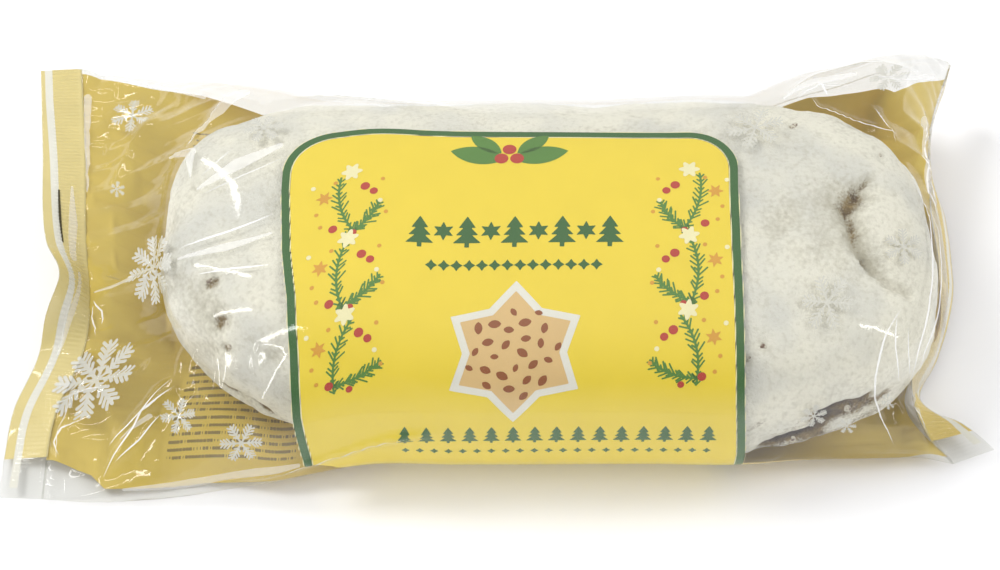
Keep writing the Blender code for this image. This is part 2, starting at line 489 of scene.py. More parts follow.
def path_distance(points: Array, path: Array) -> tuple[Array, Array]:
    """Distance to a path of straight stretches, and how far along it the nearest place is.

    Args:
        points: places, (..., k).
        path: the path's corners, (n, k).

    Returns:
        Distances and shares of the path, from 0 to 1, (...).
    """
    best, where = np.full(points.shape[:-1], np.inf), np.zeros(points.shape[:-1])
    for index, (start, end) in enumerate(zip(path[:-1], path[1:])):
        along = end - start
        share = np.clip((points - start) @ along / (along @ along), 0.0, 1.0)
        distance = np.linalg.norm(points - start - share[..., None] * along, axis=-1)
        nearer = distance < best
        best = np.where(nearer, distance, best)
        where = np.where(nearer, (index + share) / (len(path) - 1), where)
    return best, where


@dataclass(frozen=True)
class Crease:
    """A fold pressed into the film, as a ridge along a path in its coordinates x and s, in millimetres."""

    path: tuple
    height: float
    width: float
    line: float = 0.0  # half the width of the painted glint line along the fold

    def rise(self, x: Array, s: Array) -> Array:
        """Height in metres: a ridge that falls off exponentially beside the path and is lower at its ends."""
        places = np.stack([x, s], axis=-1) / MM
        distance, where = path_distance(places, np.array(self.path, float))
        beside = (np.sqrt(distance**2 + (0.12 * self.width) ** 2) - 0.12 * self.width) / self.width
        ends = smooth_step(where, -0.05, 0.22) * (1 - smooth_step(where, 0.78, 1.05))
        return self.height * MM * np.exp(-beside) * ends


CREASES = (
    # left end
    Crease(((-166, 73), (-157, 73), (-150, 74), (-125, 78), (-104, 84), (-88, 89)), 2.2, 3.0),
    Crease(((-125, 82), (-107, 89), (-89, 97)), 1.0, 1.6, 0.35),
    Crease(((-118, 74), (-103, 77), (-88, 78)), 1.0, 1.6, 0.28),
    Crease(((-166, 72), (-162, 67), (-162, 62)), 0.8, 1.2, 0.30),
    Crease(((-165, 70), (-166, 66), (-163, 58)), 0.8, 1.2, 0.25),
    Crease(((-148, 6), (-142, 15), (-135, 24), (-129, 34), (-123, 42)), 2.4, 2.0, 0.25),
    Crease(((-146, 17), (-138, 24), (-130, 31), (-122, 39)), 1.8, 1.8, 0.30),
    Crease(((-143, 12), (-134, 20), (-126, 30)), 1.2, 1.6, 0.22),
    Crease(((-164, 35), (-158, 38), (-150, 38)), 1.0, 1.6, 0.18),
    Crease(((-162, 14), (-164, 19), (-162, 24), (-154, 28)), 1.2, 1.4, 0.28),
    Crease(((-162, 45), (-163, 25), (-163, 5)), 1.2, 1.4, 0.10),
    Crease(((-132, 122), (-126, 122), (-121, 120), (-120, 110)), 2.0, 2.4),
    Crease(((-125, 126), (-116, 138), (-107, 157)), 2.4, 3.0),
    Crease(((-137, 148), (-145, 137), (-152, 122), (-156, 108)), 2.4, 4.5),
    Crease(((-160, 169), (-150, 166), (-137, 162), (-114, 148)), 1.6, 2.2, 0.25),
    Crease(((-119, 101), (-103, 111), (-86, 120)), 1.0, 1.8, 0.16),
    Crease(((-118, 109), (-106, 123)), 0.8, 1.4, 0.14),
    Crease(((-92, 153), (-72, 154), (-50, 144), (-28, 140)), 1.6, 1.8, 0.16),
    Crease(((-34, 16), (-46, 14), (-55, 12), (-65, 9.5), (-80, 7.5), (-92, 6), (-106, 5)), 2.6, 1.7, 0.12),
    # right end
    Crease(((115, 58), (112, 48), (109, 35), (109, 20), (113, 5)), 1.8, 1.6, 0.34),
    Crease(((114, 56), (116, 44), (120, 31)), 1.2, 1.4, 0.24),
    Crease(((118, 53), (121, 42), (125, 32)), 0.8, 1.2, 0.14),
    Crease(((81, 144), (86, 133), (100, 127), (114, 123), (117, 116)), 1.6, 1.8, 0.16),
    Crease(((108, 135), (115, 121)), 1.0, 1.4, 0.22),
    Crease(((76, 136), (87, 144), (99, 143)), 1.2, 1.8, 0.20),
    Crease(((71, 139), (86, 152), (102, 158), (116, 157)), 1.6, 2.2, 0.22),
    Crease(((86, 147), (91, 138)), 0.8, 1.2, 0.30),
    Crease(((131, 134), (127, 118), (126, 100), (129, 88)), 1.8, 2.0, 0.30),
    Crease(((119, 112), (124, 89), (122, 62), (124, 42), (127, 24)), 1.6, 1.6, 0.22),
    Crease(((124, 117), (129, 106), (128, 94)), 1.2, 1.4, 0.30),
    Crease(((123, 98), (127, 86), (125, 63), (126, 43), (130, 28)), 1.0, 1.4, 0.20),
    Crease(((127, 24), (128, 19), (126, 13)), 0.8, 1.2, 0.20),
)


class Web(Enum):
    """The two faces of the flow wrap."""

    FRONT = "front"
    BACK = "back"


@dataclass(frozen=True)
class PackForm:
    """Outer form of the sealed film, in metres from the middle of the loaf on the ground.

    A sheet of reference is spanned by two end seals and two folded long edges. The front web stands
    above it by the crown, and the back web lies below it, flat under the loaf.
    """

    seal_band: float = 0.0145
    seal_gap: float = 0.35 * MM
    crown_height: float = 0.0640
    left_seal: tuple = (
        (-0.1672, -0.0725, 0.0035),
        (-0.1660, -0.0440, 0.0055),
        (-0.1572, -0.0170, 0.0110),
        (-0.1561, -0.0037, 0.0170),
        (-0.1590, 0.0150, 0.0190),
        (-0.1637, 0.0550, 0.0165),
        (-0.1696, 0.0965, 0.0140),
    )
    left_tilt: tuple = (0.0, -8.0, 10.0, 54.0, 32.0, 8.0, 4.0)
    right_seal: tuple = (
        (0.1340, -0.0595, 0.0035),
        (0.1255, -0.0500, 0.0075),
        (0.1205, -0.0360, 0.0160),
        (0.1280, -0.0180, 0.0185),
        (0.1325, 0.0020, 0.0215),
        (0.1325, 0.0300, 0.0235),
        (0.1350, 0.0600, 0.0260),
        (0.1440, 0.0865, 0.0290),
    )
    right_tilt: tuple = (2.0, -12.0, -66.0, -68.0, -64.0, -58.0, -84.0, -88.0)
    near_fold: tuple = (
        (-0.1672, -0.0725, 0.0035),
        (-0.1500, -0.0728, 0.0030),
        (-0.1350, -0.0720, 0.0030),
        (-0.1200, -0.0706, 0.0032),
        (-0.1050, -0.0695, 0.0055),
        (-0.0900, -0.0690, 0.0095),
        (-0.0755, -0.0663, 0.0112),
        (-0.0620, -0.0650, 0.0150),
        (-0.0300, -0.0656, 0.0170),
        (0.0300, -0.0656, 0.0180),
        (0.0700, -0.0650, 0.0165),
        (0.0830, -0.0624, 0.0122),
        (0.0950, -0.0608, 0.0102),
        (0.1120, -0.0598, 0.0090),
        (0.1220, -0.0590, 0.0075),
        (0.1340, -0.0595, 0.0035),
    )
    far_fold: tuple = (
        (-0.1696, 0.0965, 0.0140),
        (-0.1500, 0.0910, 0.0150),
        (-0.1250, 0.0858, 0.0165),
        (-0.0985, 0.0758, 0.0180),
        (-0.0800, 0.0690, 0.0185),
        (-0.0510, 0.0664, 0.0190),
        (0.0000, 0.0660, 0.0190),
        (0.0500, 0.0662, 0.0195),
        (0.0680, 0.0672, 0.0210),
        (0.0800, 0.0720, 0.0240),
        (0.0900, 0.0748, 0.0262),
        (0.1010, 0.0770, 0.0275),
        (0.1240, 0.0845, 0.0300),
        (0.1440, 0.0865, 0.0290),
    )
    ridge: tuple = (
        (-0.1575, 0.290),
        (-0.1400, 0.465),
        (-0.1220, 0.680),
        (-0.1040, 0.835),
        (-0.0820, 0.930),
        (-0.0500, 0.985),
        (0.0000, 1.000),
        (0.0500, 0.995),
        (0.0900, 0.950),
        (0.1120, 0.850),
        (0.1240, 0.700),
        (0.1300, 0.520),
        (0.1328, 0.360),
    )
    arch_over_loaf: float = 2.5
    arch_at_left_end: float = 1.7
    flat_share: float = 0.70
    flat_span: tuple = (-0.118, 0.116)
    rise_length: float = 0.034
    under_film: float = 0.6 * MM  # how far the back web lies above the ground

    def seal_line(self, left: bool, across: Array) -> tuple[Array, Array, Array]:
        """An end seal's inner line.

        Args:
            left: which end.
            across: places from the near corner, 0, to the far corner, 1.

        Returns:
            Its points, the direction outwards along its band, and the band's upward normal.
        """
        corners = np.array(self.left_seal if left else self.right_seal)
        knots = chord_knots(corners)
        line = hermite(knots, corners, across)
        tilts = np.array(self.left_tilt if left else self.right_tilt)[:, None]
        tilt = np.radians(hermite(knots, tilts, across))
        outward = -1.0 if left else 1.0
        tangent = np.gradient(line, across, axis=0) * [1.0, 1.0, 0.0]
        tangent /= np.linalg.norm(tangent, axis=1, keepdims=True)
        level = np.stack([tangent[:, 1], -tangent[:, 0], 0 * across], axis=1) * outward
        level = level * 0.45 + np.array([outward, 0.0, 0.0]) * 0.55
        level /= np.linalg.norm(level, axis=1, keepdims=True)
        up = np.array([0.0, 0.0, 1.0])
        return line, level * np.cos(tilt) + up * np.sin(tilt), up * np.cos(tilt) - level * np.sin(tilt)

    def web(self, web: Web, along: Array, across: Array) -> Array:
        """One web of film as rows of points.

        The reference sheet is a ruled sheet between the folded edges plus, near each end, the amount by
        which the bent seal leaves its own chord. The front web adds crown * (1 - |side|^p)^(1/p). The back
        web keeps the share of its height that a quarter ellipse gives near the folds, and none between.

        Args:
            web: which web.
            along: places from the left seal, 0, to the right seal, 1.
            across: places from the near fold, 0, to the far fold, 1.

        Returns:
            Points, (len(along), len(across), 3).
        """
        near, far = (self._fold(np.array(fold), along) for fold in (self.near_fold, self.far_fold))
        left, _, left_normal = self.seal_line(True, across)
        right, _, right_normal = self.seal_line(False, across)
        u = along[:, None, None]
        q = across[None, :, None]
        left_bend = left - ((1 - q[0]) * left[0] + q[0] * left[-1])
        right_bend = right - ((1 - q[0]) * right[0] + q[0] * right[-1])
        sheet = (1 - q) * near[:, None] + q * far[:, None]
        sheet = sheet + (1 - smooth_step(u, 0.0, 0.30)) * left_bend + smooth_step(u, 0.74, 1.0) * right_bend
        place = sheet[:, :, 0]
        side = np.abs(2 * across - 1)[None]
        lean = (1 - smooth_step(u, 0.0, 0.12)) * left_normal + smooth_step(u, 0.88, 1.0) * right_normal
        lean = lean + np.array([0.0, 0.0, 0.15])
        lean /= np.linalg.norm(lean, axis=2, keepdims=True)
        if web is Web.FRONT:
            boxy = smooth_step(place, -0.150, -0.085)
            power = self.arch_at_left_end + (self.arch_over_loaf - self.arch_at_left_end) * boxy
            arch = (1 - side**power) ** (1 / power)
            ridge = np.array(self.ridge)
            middle = len(across) // 2
            top = hermite(ridge[:, 0], ridge[:, 1:], np.clip(place[:, middle], ridge[0, 0], ridge[-1, 0]))
            crown = np.clip(top * self.crown_height - sheet[:, middle, 2:3], 0.0, None)
            points = sheet + self.seal_gap * lean
            points[:, :, 2] += crown * arch
            return points
        ends = smooth_step(-place, -self.flat_span[0], -self.flat_span[0] + self.rise_length)
        ends = np.maximum(ends, smooth_step(place, self.flat_span[1], self.flat_span[1] + self.rise_length / 2))
        sides = 1 - np.sqrt(1 - np.clip((side - self.flat_share) / (1 - self.flat_share), 0.0, 1.0) ** 2)
        points = sheet - self.seal_gap * lean
        points[:, :, 2] *= 1 - (1 - ends) * (1 - sides)
        points[:, :, 2] = np.maximum(points[:, :, 2], self.under_film)
        return points

    @staticmethod
    def _fold(points: Array, along: Array) -> Array:
        """A folded edge, read evenly in x so that the sections over the loaf stand square to it."""
        places = points[0, 0] + (points[-1, 0] - points[0, 0]) * along
        return hermite(points[:, 0], points, places)


# ---------------------------------------------------------------------------------------------
# Printing: outlines cut from a surface's own grid
# ---------------------------------------------------------------------------------------------


def split_blend(nodes: Array, finer: int) -> Array:
    """Put finer x finer cells into every cell of a grid, flat on the cell's two triangles.

    The triangles meet along the diagonal from the cell's first corner to its opposite one, as in the
    film's own faces, so that what is printed never leaves the film.

    Args:
        nodes: values at the grid's nodes, (rows, columns, k).
        finer: how many cells each cell becomes along each side.

    Returns:
        Values at the finer nodes.
    """
    rows, columns = nodes.shape[0] - 1, nodes.shape[1] - 1
    i, j = np.arange(rows * finer + 1), np.arange(columns * finer + 1)
    row = np.minimum(i // finer, rows - 1)[:, None]
    column = np.minimum(j // finer, columns - 1)[None, :]
    t = (i[:, None] / finer - row)[..., None]
    w = (j[None, :] / finer - column)[..., None]
    first, last = nodes[row, column], nodes[row + 1, column + 1]
    below, beside = nodes[row + 1, column], nodes[row, column + 1]
    lower = first + t * (below - first) + w * (last - below)
    upper = first + w * (beside - first) + t * (last - beside)
    return np.where(t >= w, lower, upper)


def cut_outline(distance: Array) -> tuple[Array, Array, Array]:
    """Triangles of a grid that lie where the signed distance is negative, cut along its zero line.

    Args:
        distance: signed distance at the grid's nodes, (rows, columns).

    Returns:
        For each point of the cut sheet the two nodes it lies between, (n, 2), and its share of the way,
        (n,), and the triangles, (m, 3).
    """
    rows, columns = distance.shape
    index = np.arange(rows * columns).reshape(rows, columns)
    a, b, c, d = index[:-1, :-1], index[1:, :-1], index[1:, 1:], index[:-1, 1:]
    triangles = np.concatenate([np.stack(t, axis=-1).reshape(-1, 3) for t in ((a, b, c), (a, c, d))])
    value = distance.ravel()
    inside = value < 0
    count = inside[triangles].sum(axis=1)
    whole = triangles[count == 3]
    one, two = triangles[count == 1], triangles[count == 2]
    turn = np.arange(3)[None]
    one = np.take_along_axis(one, (np.argmax(inside[one], axis=1)[:, None] + turn) % 3, axis=1)
    two = np.take_along_axis(two, (np.argmin(inside[two], axis=1)[:, None] + turn) % 3, axis=1)
    crossings = np.concatenate([one[:, [0, 1]], one[:, [0, 2]], two[:, [1, 0]], two[:, [2, 0]]])
    ordered = np.sort(crossings, axis=1)
    pairs, inverse = np.unique(ordered[:, 0] * value.size + ordered[:, 1], return_inverse=True)
    ends = np.stack([pairs // value.size, pairs % value.size], axis=1)
    share = value[ends[:, 0]] / (value[ends[:, 0]] - value[ends[:, 1]])
    made = value.size + inverse.ravel()
    tip, first, second = len(one), len(one), len(two)
    ab, ac = made[:tip], made[tip : 2 * first]
    bo, co = made[2 * first : 2 * first + second], made[2 * first + second :]
    parts = [
        whole,
        np.stack([one[:, 0], ab, ac], axis=1),
        np.stack([two[:, 1], two[:, 2], bo], axis=1),
        np.stack([two[:, 2], co, bo], axis=1),
    ]
    faces = np.concatenate(parts)
    used, faces = np.unique(faces, return_inverse=True)
    nodes = used[used < value.size]
    cuts = used[used >= value.size] - value.size
    between = np.concatenate([np.stack([nodes, nodes], axis=1), ends[cuts]])
    return between, np.concatenate([np.zeros(len(nodes)), share[cuts]]), faces.reshape(-1, 3)


Region = Callable[[Array, Array], Array]


@dataclass
class Surface:
    """A grid of film with the coordinates that the print is drawn in.

    Columns of a closed surface count on past its seam, so a window may start below zero.
    """

    points: Array
    normals: Array
    x: Array
    s: Array

    def window(self, rows: tuple[int, int], columns: tuple[int, int], finer: int) -> Array:
        """Points, normals, x and s on a finer grid over some of the rows and columns."""
        picked = np.arange(columns[0], columns[1] + 1) % self.points.shape[1]
        span = slice(max(rows[0], 0), min(rows[1], len(self.points) - 1) + 1)
        nodes = np.concatenate([self.points, self.normals, self.x[..., None], self.s[..., None]], axis=2)
        return split_blend(nodes[span][:, picked], finer)

    def print_on(
        self, region: Region, rows: tuple[int, int], columns: tuple[int, int], finer: int, depth: float
    ) -> tuple[Array, Array]:
        """Cut one region out of the surface.

        Args:
            region: signed distance of x and s to the region's outline, negative inside.
            rows: first and last row of the window that holds the region.
            columns: first and last column of it.
            finer: how many times finer than the surface's grid.
            depth: how far under the surface.

        Returns:
            The cut sheet's points and triangles.
        """
        nodes = self.window(rows, columns, finer)
        between, share, faces = cut_outline(region(nodes[..., 6], nodes[..., 7]))
        flat = nodes.reshape(-1, 8)
        mixed = flat[between[:, 0]] * (1 - share[:, None]) + flat[between[:, 1]] * share[:, None]
        normal = mixed[:, 3:6] / np.maximum(np.linalg.norm(mixed[:, 3:6], axis=1, keepdims=True), 1e-9)
        return mixed[:, :3] - normal * depth, faces


def circle(a: Array, b: Array, radius: float) -> Array:
    """Distance to a circle around the middle."""
    return np.hypot(a, b) - radius


def stroke(a: Array, b: Array, start: tuple[float, float], end: tuple[float, float], width: float) -> Array:
    """Distance to a straight stroke with round ends."""
    along = np.array(end) - start
    share = np.clip(((a - start[0]) * along[0] + (b - start[1]) * along[1]) / (along @ along), 0.0, 1.0)
    return np.hypot(a - start[0] - share * along[0], b - start[1] - share * along[1]) - width / 2


def rounded_box(a: Array, b: Array, half: tuple[float, float], radius: float) -> Array:
    """Distance to a rectangle with rounded corners."""
    over_a, over_b = np.abs(a) - half[0] + radius, np.abs(b) - half[1] + radius
    outer = np.hypot(np.maximum(over_a, 0.0), np.maximum(over_b, 0.0))
    return outer + np.minimum(np.maximum(over_a, over_b), 0.0) - radius


def fold(a: Array, b: Array, arms: int) -> tuple[Array, Array]:
    """Fold the plane into one half of one arm: the distance along the arm and the offset beside it."""
    wedge = 2 * np.pi / arms
    angle = np.abs((np.arctan2(b, a) + wedge / 2) % wedge - wedge / 2)
    radius = np.hypot(a, b)
    return radius * np.cos(angle), radius * np.sin(angle)


def star(a: Array, b: Array, radius: float, tips: int, waist: float) -> Array:
    """Distance to a star: beyond the line from its tip to the notch at waist * radius."""
    along, beside = fold(a, b, tips)
    notch = np.array([math.cos(math.pi / tips), math.sin(math.pi / tips)]) * waist * radius
    edge = np.array([radius, 0.0]) - notch
    normal = np.array([-edge[1], edge[0]]) / np.linalg.norm(edge)
    return (along - radius) * normal[0] + beside * normal[1]


def turned(a: Array, b: Array, angle: float) -> tuple[Array, Array]:
    """Coordinates in a frame turned by an angle in degrees."""
    cosine, sine = math.cos(math.radians(angle)), math.sin(math.radians(angle))
    return a * cosine + b * sine, -a * sine + b * cosine


@dataclass(frozen=True)
class Motif:
    """One printed figure: where it lies on the film, how large it is and how far it is turned."""

    x: float
    s: float
    radius: float
    turn: float = 0.0

    def local(self, x: Array, s: Array) -> tuple[Array, Array]:
        """Coordinates from the figure's own middle, in its own turn."""
        return turned(x - self.x, s - self.s, self.turn)

    def distance(self, x: Array, s: Array) -> Array:
        """Signed distance to the figure's outline: a disc, unless the figure says otherwise."""
        return circle(*self.local(x, s), self.radius)


@dataclass(frozen=True)
class Snowflake(Motif):
    """A traditional snow crystal: arms with paired side branches that shorten towards the tip."""

    arms: int = 6
    line: float = 0.085  # of the radius
    pairs: int = 5

    def distance(self, x: Array, s: Array) -> Array:
        """Union of one arm and its side branches in the folded plane."""
        along, beside = fold(*self.local(x, s), self.arms)
        line = self.line * self.radius
        parts = [stroke(along, beside, (0.0, 0.0), (self.radius - line, 0.0), line)]
        lean = math.radians(47.0)
        for pair in range(self.pairs):
            share = (pair + 1.0) / (self.pairs + 0.6)
            start = self.radius * (0.10 + 0.74 * share)
            room = math.tan(math.pi / self.arms) * start * 0.92
            reach = min(self.radius * 0.34 * (1.10 - 0.50 * share), room / math.sin(lean))
            end = (start + reach * math.cos(lean), reach * math.sin(lean))
            parts.append(stroke(along, beside, (start, 0.0), end, line * 0.9))
        return np.minimum.reduce(parts)


@dataclass(frozen=True)
class Star(Motif):
    """A plain star."""

    tips: int = 6
    waist: float = 0.5

    def distance(self, x: Array, s: Array) -> Array:
        """Distance to the star's straight edges."""
        return star(*self.local(x, s), self.radius, self.tips, self.waist)


@dataclass(frozen=True)
class FirTwig(Motif):
    """A bent fir twig with rows of needles on both sides. Its radius is half its length."""

    bend: float = 0.25
    needles: int = 15
    needle: float = 3.6 * MM
    line: float = 0.55 * MM

    def distance(self, x: Array, s: Array) -> Array:
        """Union of the stem's stretches and the needles, which lean forward from the stem."""
        a, b = self.local(x, s)
        place = np.linspace(-1.0, 1.0, self.needles)
        stem = np.stack([place * self.radius, self.bend * self.radius * (1 - place**2)], axis=1)
        parts = [stroke(a, b, tuple(p), tuple(q), self.line * 1.3) for p, q in zip(stem[:-1], stem[1:])]
        for index, root in enumerate(stem[:-1]):
            slope = np.arctan2(*(stem[index + 1] - root)[::-1])
            length = self.needle * (0.75 + 0.35 * math.sin(2.4 * index)) * (1.1 - 0.45 * abs(place[index]))
            for side in (-1, 1):
                angle = slope + side * math.radians(42 + 6 * math.sin(1.7 * index + side))
                tip = (root[0] + length * math.cos(angle), root[1] + length * math.sin(angle))
                parts.append(stroke(a, b, tuple(root), tip, self.line))
        return np.minimum.reduce(parts)


@dataclass(frozen=True)
class FirTree(Motif):
    """A small fir tree of three tiers on a trunk. Its radius is half its height."""

    def distance(self, x: Array, s: Array) -> Array:
        """Union of three triangles, each the largest of its half-planes, and the trunk's box."""
        a, b = self.local(x, s)
        r = self.radius
        parts = [rounded_box(a, b + 0.92 * r, (0.13 * r, 0.16 * r), 0.02 * r)]
        for base, height, half in ((-0.80, 0.80, 0.80), (-0.28, 0.75, 0.64), (0.22, 0.78, 0.48)):
            slope = math.hypot(height, half)
            side = (np.abs(a) * height + (b - (base + height) * r) * half) / slope
            parts.append(np.maximum(side, base * r - b))
        return np.minimum.reduce(parts)


@dataclass(frozen=True)
class Leaf(Motif):
    """A pointed leaf: the overlap of two discs. Its radius is half its length."""

    slim: float = 0.42

    def distance(self, x: Array, s: Array) -> Array:
        """Distance to the lens of two arcs whose half-width is slim * radius."""
        a, b = self.local(x, s)
        width = self.slim * self.radius
        arc = (self.radius**2 + width**2) / (2 * width)
        return np.hypot(a, np.abs(b) + arc - width) - arc


@dataclass(frozen=True)
class Flower(Motif):
    """A blossom of rounded petals."""

    petals: int = 6

    def distance(self, x: Array, s: Array) -> Array:
        """Circle whose radius swells by a fifth at each petal."""
        a, b = self.local(x, s)
        swell = 0.80 + 0.20 * np.cos(self.petals * np.arctan2(b, a))
        return np.hypot(a, b) - self.radius * swell


@dataclass(frozen=True)
class Dashes(Motif):
    """Rows of short dashes in place of small print. Its radius is half the rows' length."""

    half_height: float = 20 * MM
    pitch: float = 3.0 * MM
    line: float = 0.6 * MM
    seed: int = 1

    def distance(self, x: Array, s: Array) -> Array:
        """Stripes across s, broken into words by a random pattern of gaps along x."""
        a, b = self.local(x, s)
        row = np.round(b / self.pitch)
        stripe = np.abs(b - row * self.pitch) - self.line / 2
        step = 1.1 * MM
        gaps = np.random.default_rng(self.seed).uniform(0, 1, 4096)
        slot = np.floor(a / step + 211 * row).astype(int) % 4096
        word = np.abs((a / step) % 1.0 - 0.5) * step - 0.5 * step * (0.90 - 0.6 * (gaps[slot] < 0.22))
        frame_edge = np.maximum(np.abs(a) - self.radius, np.abs(b) - self.half_height)
        return np.maximum(np.maximum(stripe, word), frame_edge)


@dataclass(frozen=True)
class Streak(Motif):
    """A painted stroke along a path, in millimetres, that swells and narrows as its half widths say: painted glints on
    folds, painted reflection haze and a painted fold shadow.
    """

    path: tuple = ()
    halves: tuple = (0.0, 0.3, 0.0)

    @classmethod
    def along(cls, path: tuple, halves: tuple) -> "Streak":
        """A streak whose window holds its whole path."""
        corners = np.array(path, float) * MM
        low, high = corners.min(axis=0), corners.max(axis=0)
        middle = (low + high) / 2
        radius = (high - low).max() / 2 + max(halves) * MM
        return cls(float(middle[0]), float(middle[1]), float(radius), 0.0, path, halves)

    def distance(self, x: Array, s: Array) -> Array:
        """Distance to the path less the half width there."""
        distance, where = path_distance(np.stack([x, s], axis=-1) / MM, np.array(self.path, float))
        return (distance - np.interp(where, np.linspace(0, 1, len(self.halves)), self.halves)) * MM


# Painted reflections: soft white streaks on the film where its folds would mirror the bright room.
PAINTED_REFLECTIONS = (
    Streak.along(((-165, 74), (-157, 74), (-149, 76)), (0.25, 0.7, 1.1)),
    Streak.along(((-132, 122), (-122, 121)), (0.6, 2.2)),
    Streak.along(((-122, 121), (-121, 110)), (2.0, 0.3)),
    Streak.along(((-124, 127), (-113, 142), (-106, 157)), (0.5, 1.6, 2.4)),
    Streak.along(((-124, 79), (-106, 84), (-91, 89)), (0.3, 1.3, 0.4)),
    Streak.along(((-165, 160), (-166, 139), (-166, 116)), (1.4, 1.0, 0.4)),
    Streak.along(((-150, 166), (-137, 163), (-120, 152)), (0.6, 1.6, 0.8)),
    Streak.along(((-140, 20), (-130, 28)), (0.2, 0.7)),
    Streak.along(((-140, 4), (-118, 6), (-96, 8), (-82, 8.5)), (0.4, 1.8, 1.6, 0.6)),
    Streak.along(((-118, 105), (-104, 116), (-90, 124)), (0.5, 2.4, 1.0)),
    Streak.along(((130, 132), (127, 115), (126, 100)), (1.6, 1.2, 0.4)),
    Streak.along(((110, 150), (120, 150), (129, 152)), (0.6, 1.6, 1.0)),
    Streak.along(((74, 141), (86, 148), (100, 152)), (0.5, 1.8, 1.4)),
)


@dataclass
class PrintedSheet:
    """Everything printed in one ink: a piece made of motifs on one surface."""

    name: str
    slot: str
    ink: Ink
    depth: float
    finer: int
    motifs: Sequence[Motif]

    def build(self, film: "Film", origin: Array) -> bpy.types.Object:
        """Cut every motif out of the film and join them in one mesh."""
        parts = []
        for motif in self.motifs:
            parts.append(film.surface.print_on(motif.distance, *film.reach_of(motif), self.finer, self.depth))
        points, faces = join_parts(parts)
        return make_object(self.name, points + origin, [faces], self.ink.material())


def join_parts(parts: Sequence[tuple[Array, Array]]) -> tuple[Array, Array]:
    """Join several meshes' points and faces into one."""
    starts = np.cumsum([0] + [len(points) for points, _ in parts[:-1]])
    points = np.concatenate([points for points, _ in parts])
    return points, np.concatenate([faces + start for start, (_, faces) in zip(starts, parts)])


# ---------------------------------------------------------------------------------------------
# The loaf
# ---------------------------------------------------------------------------------------------


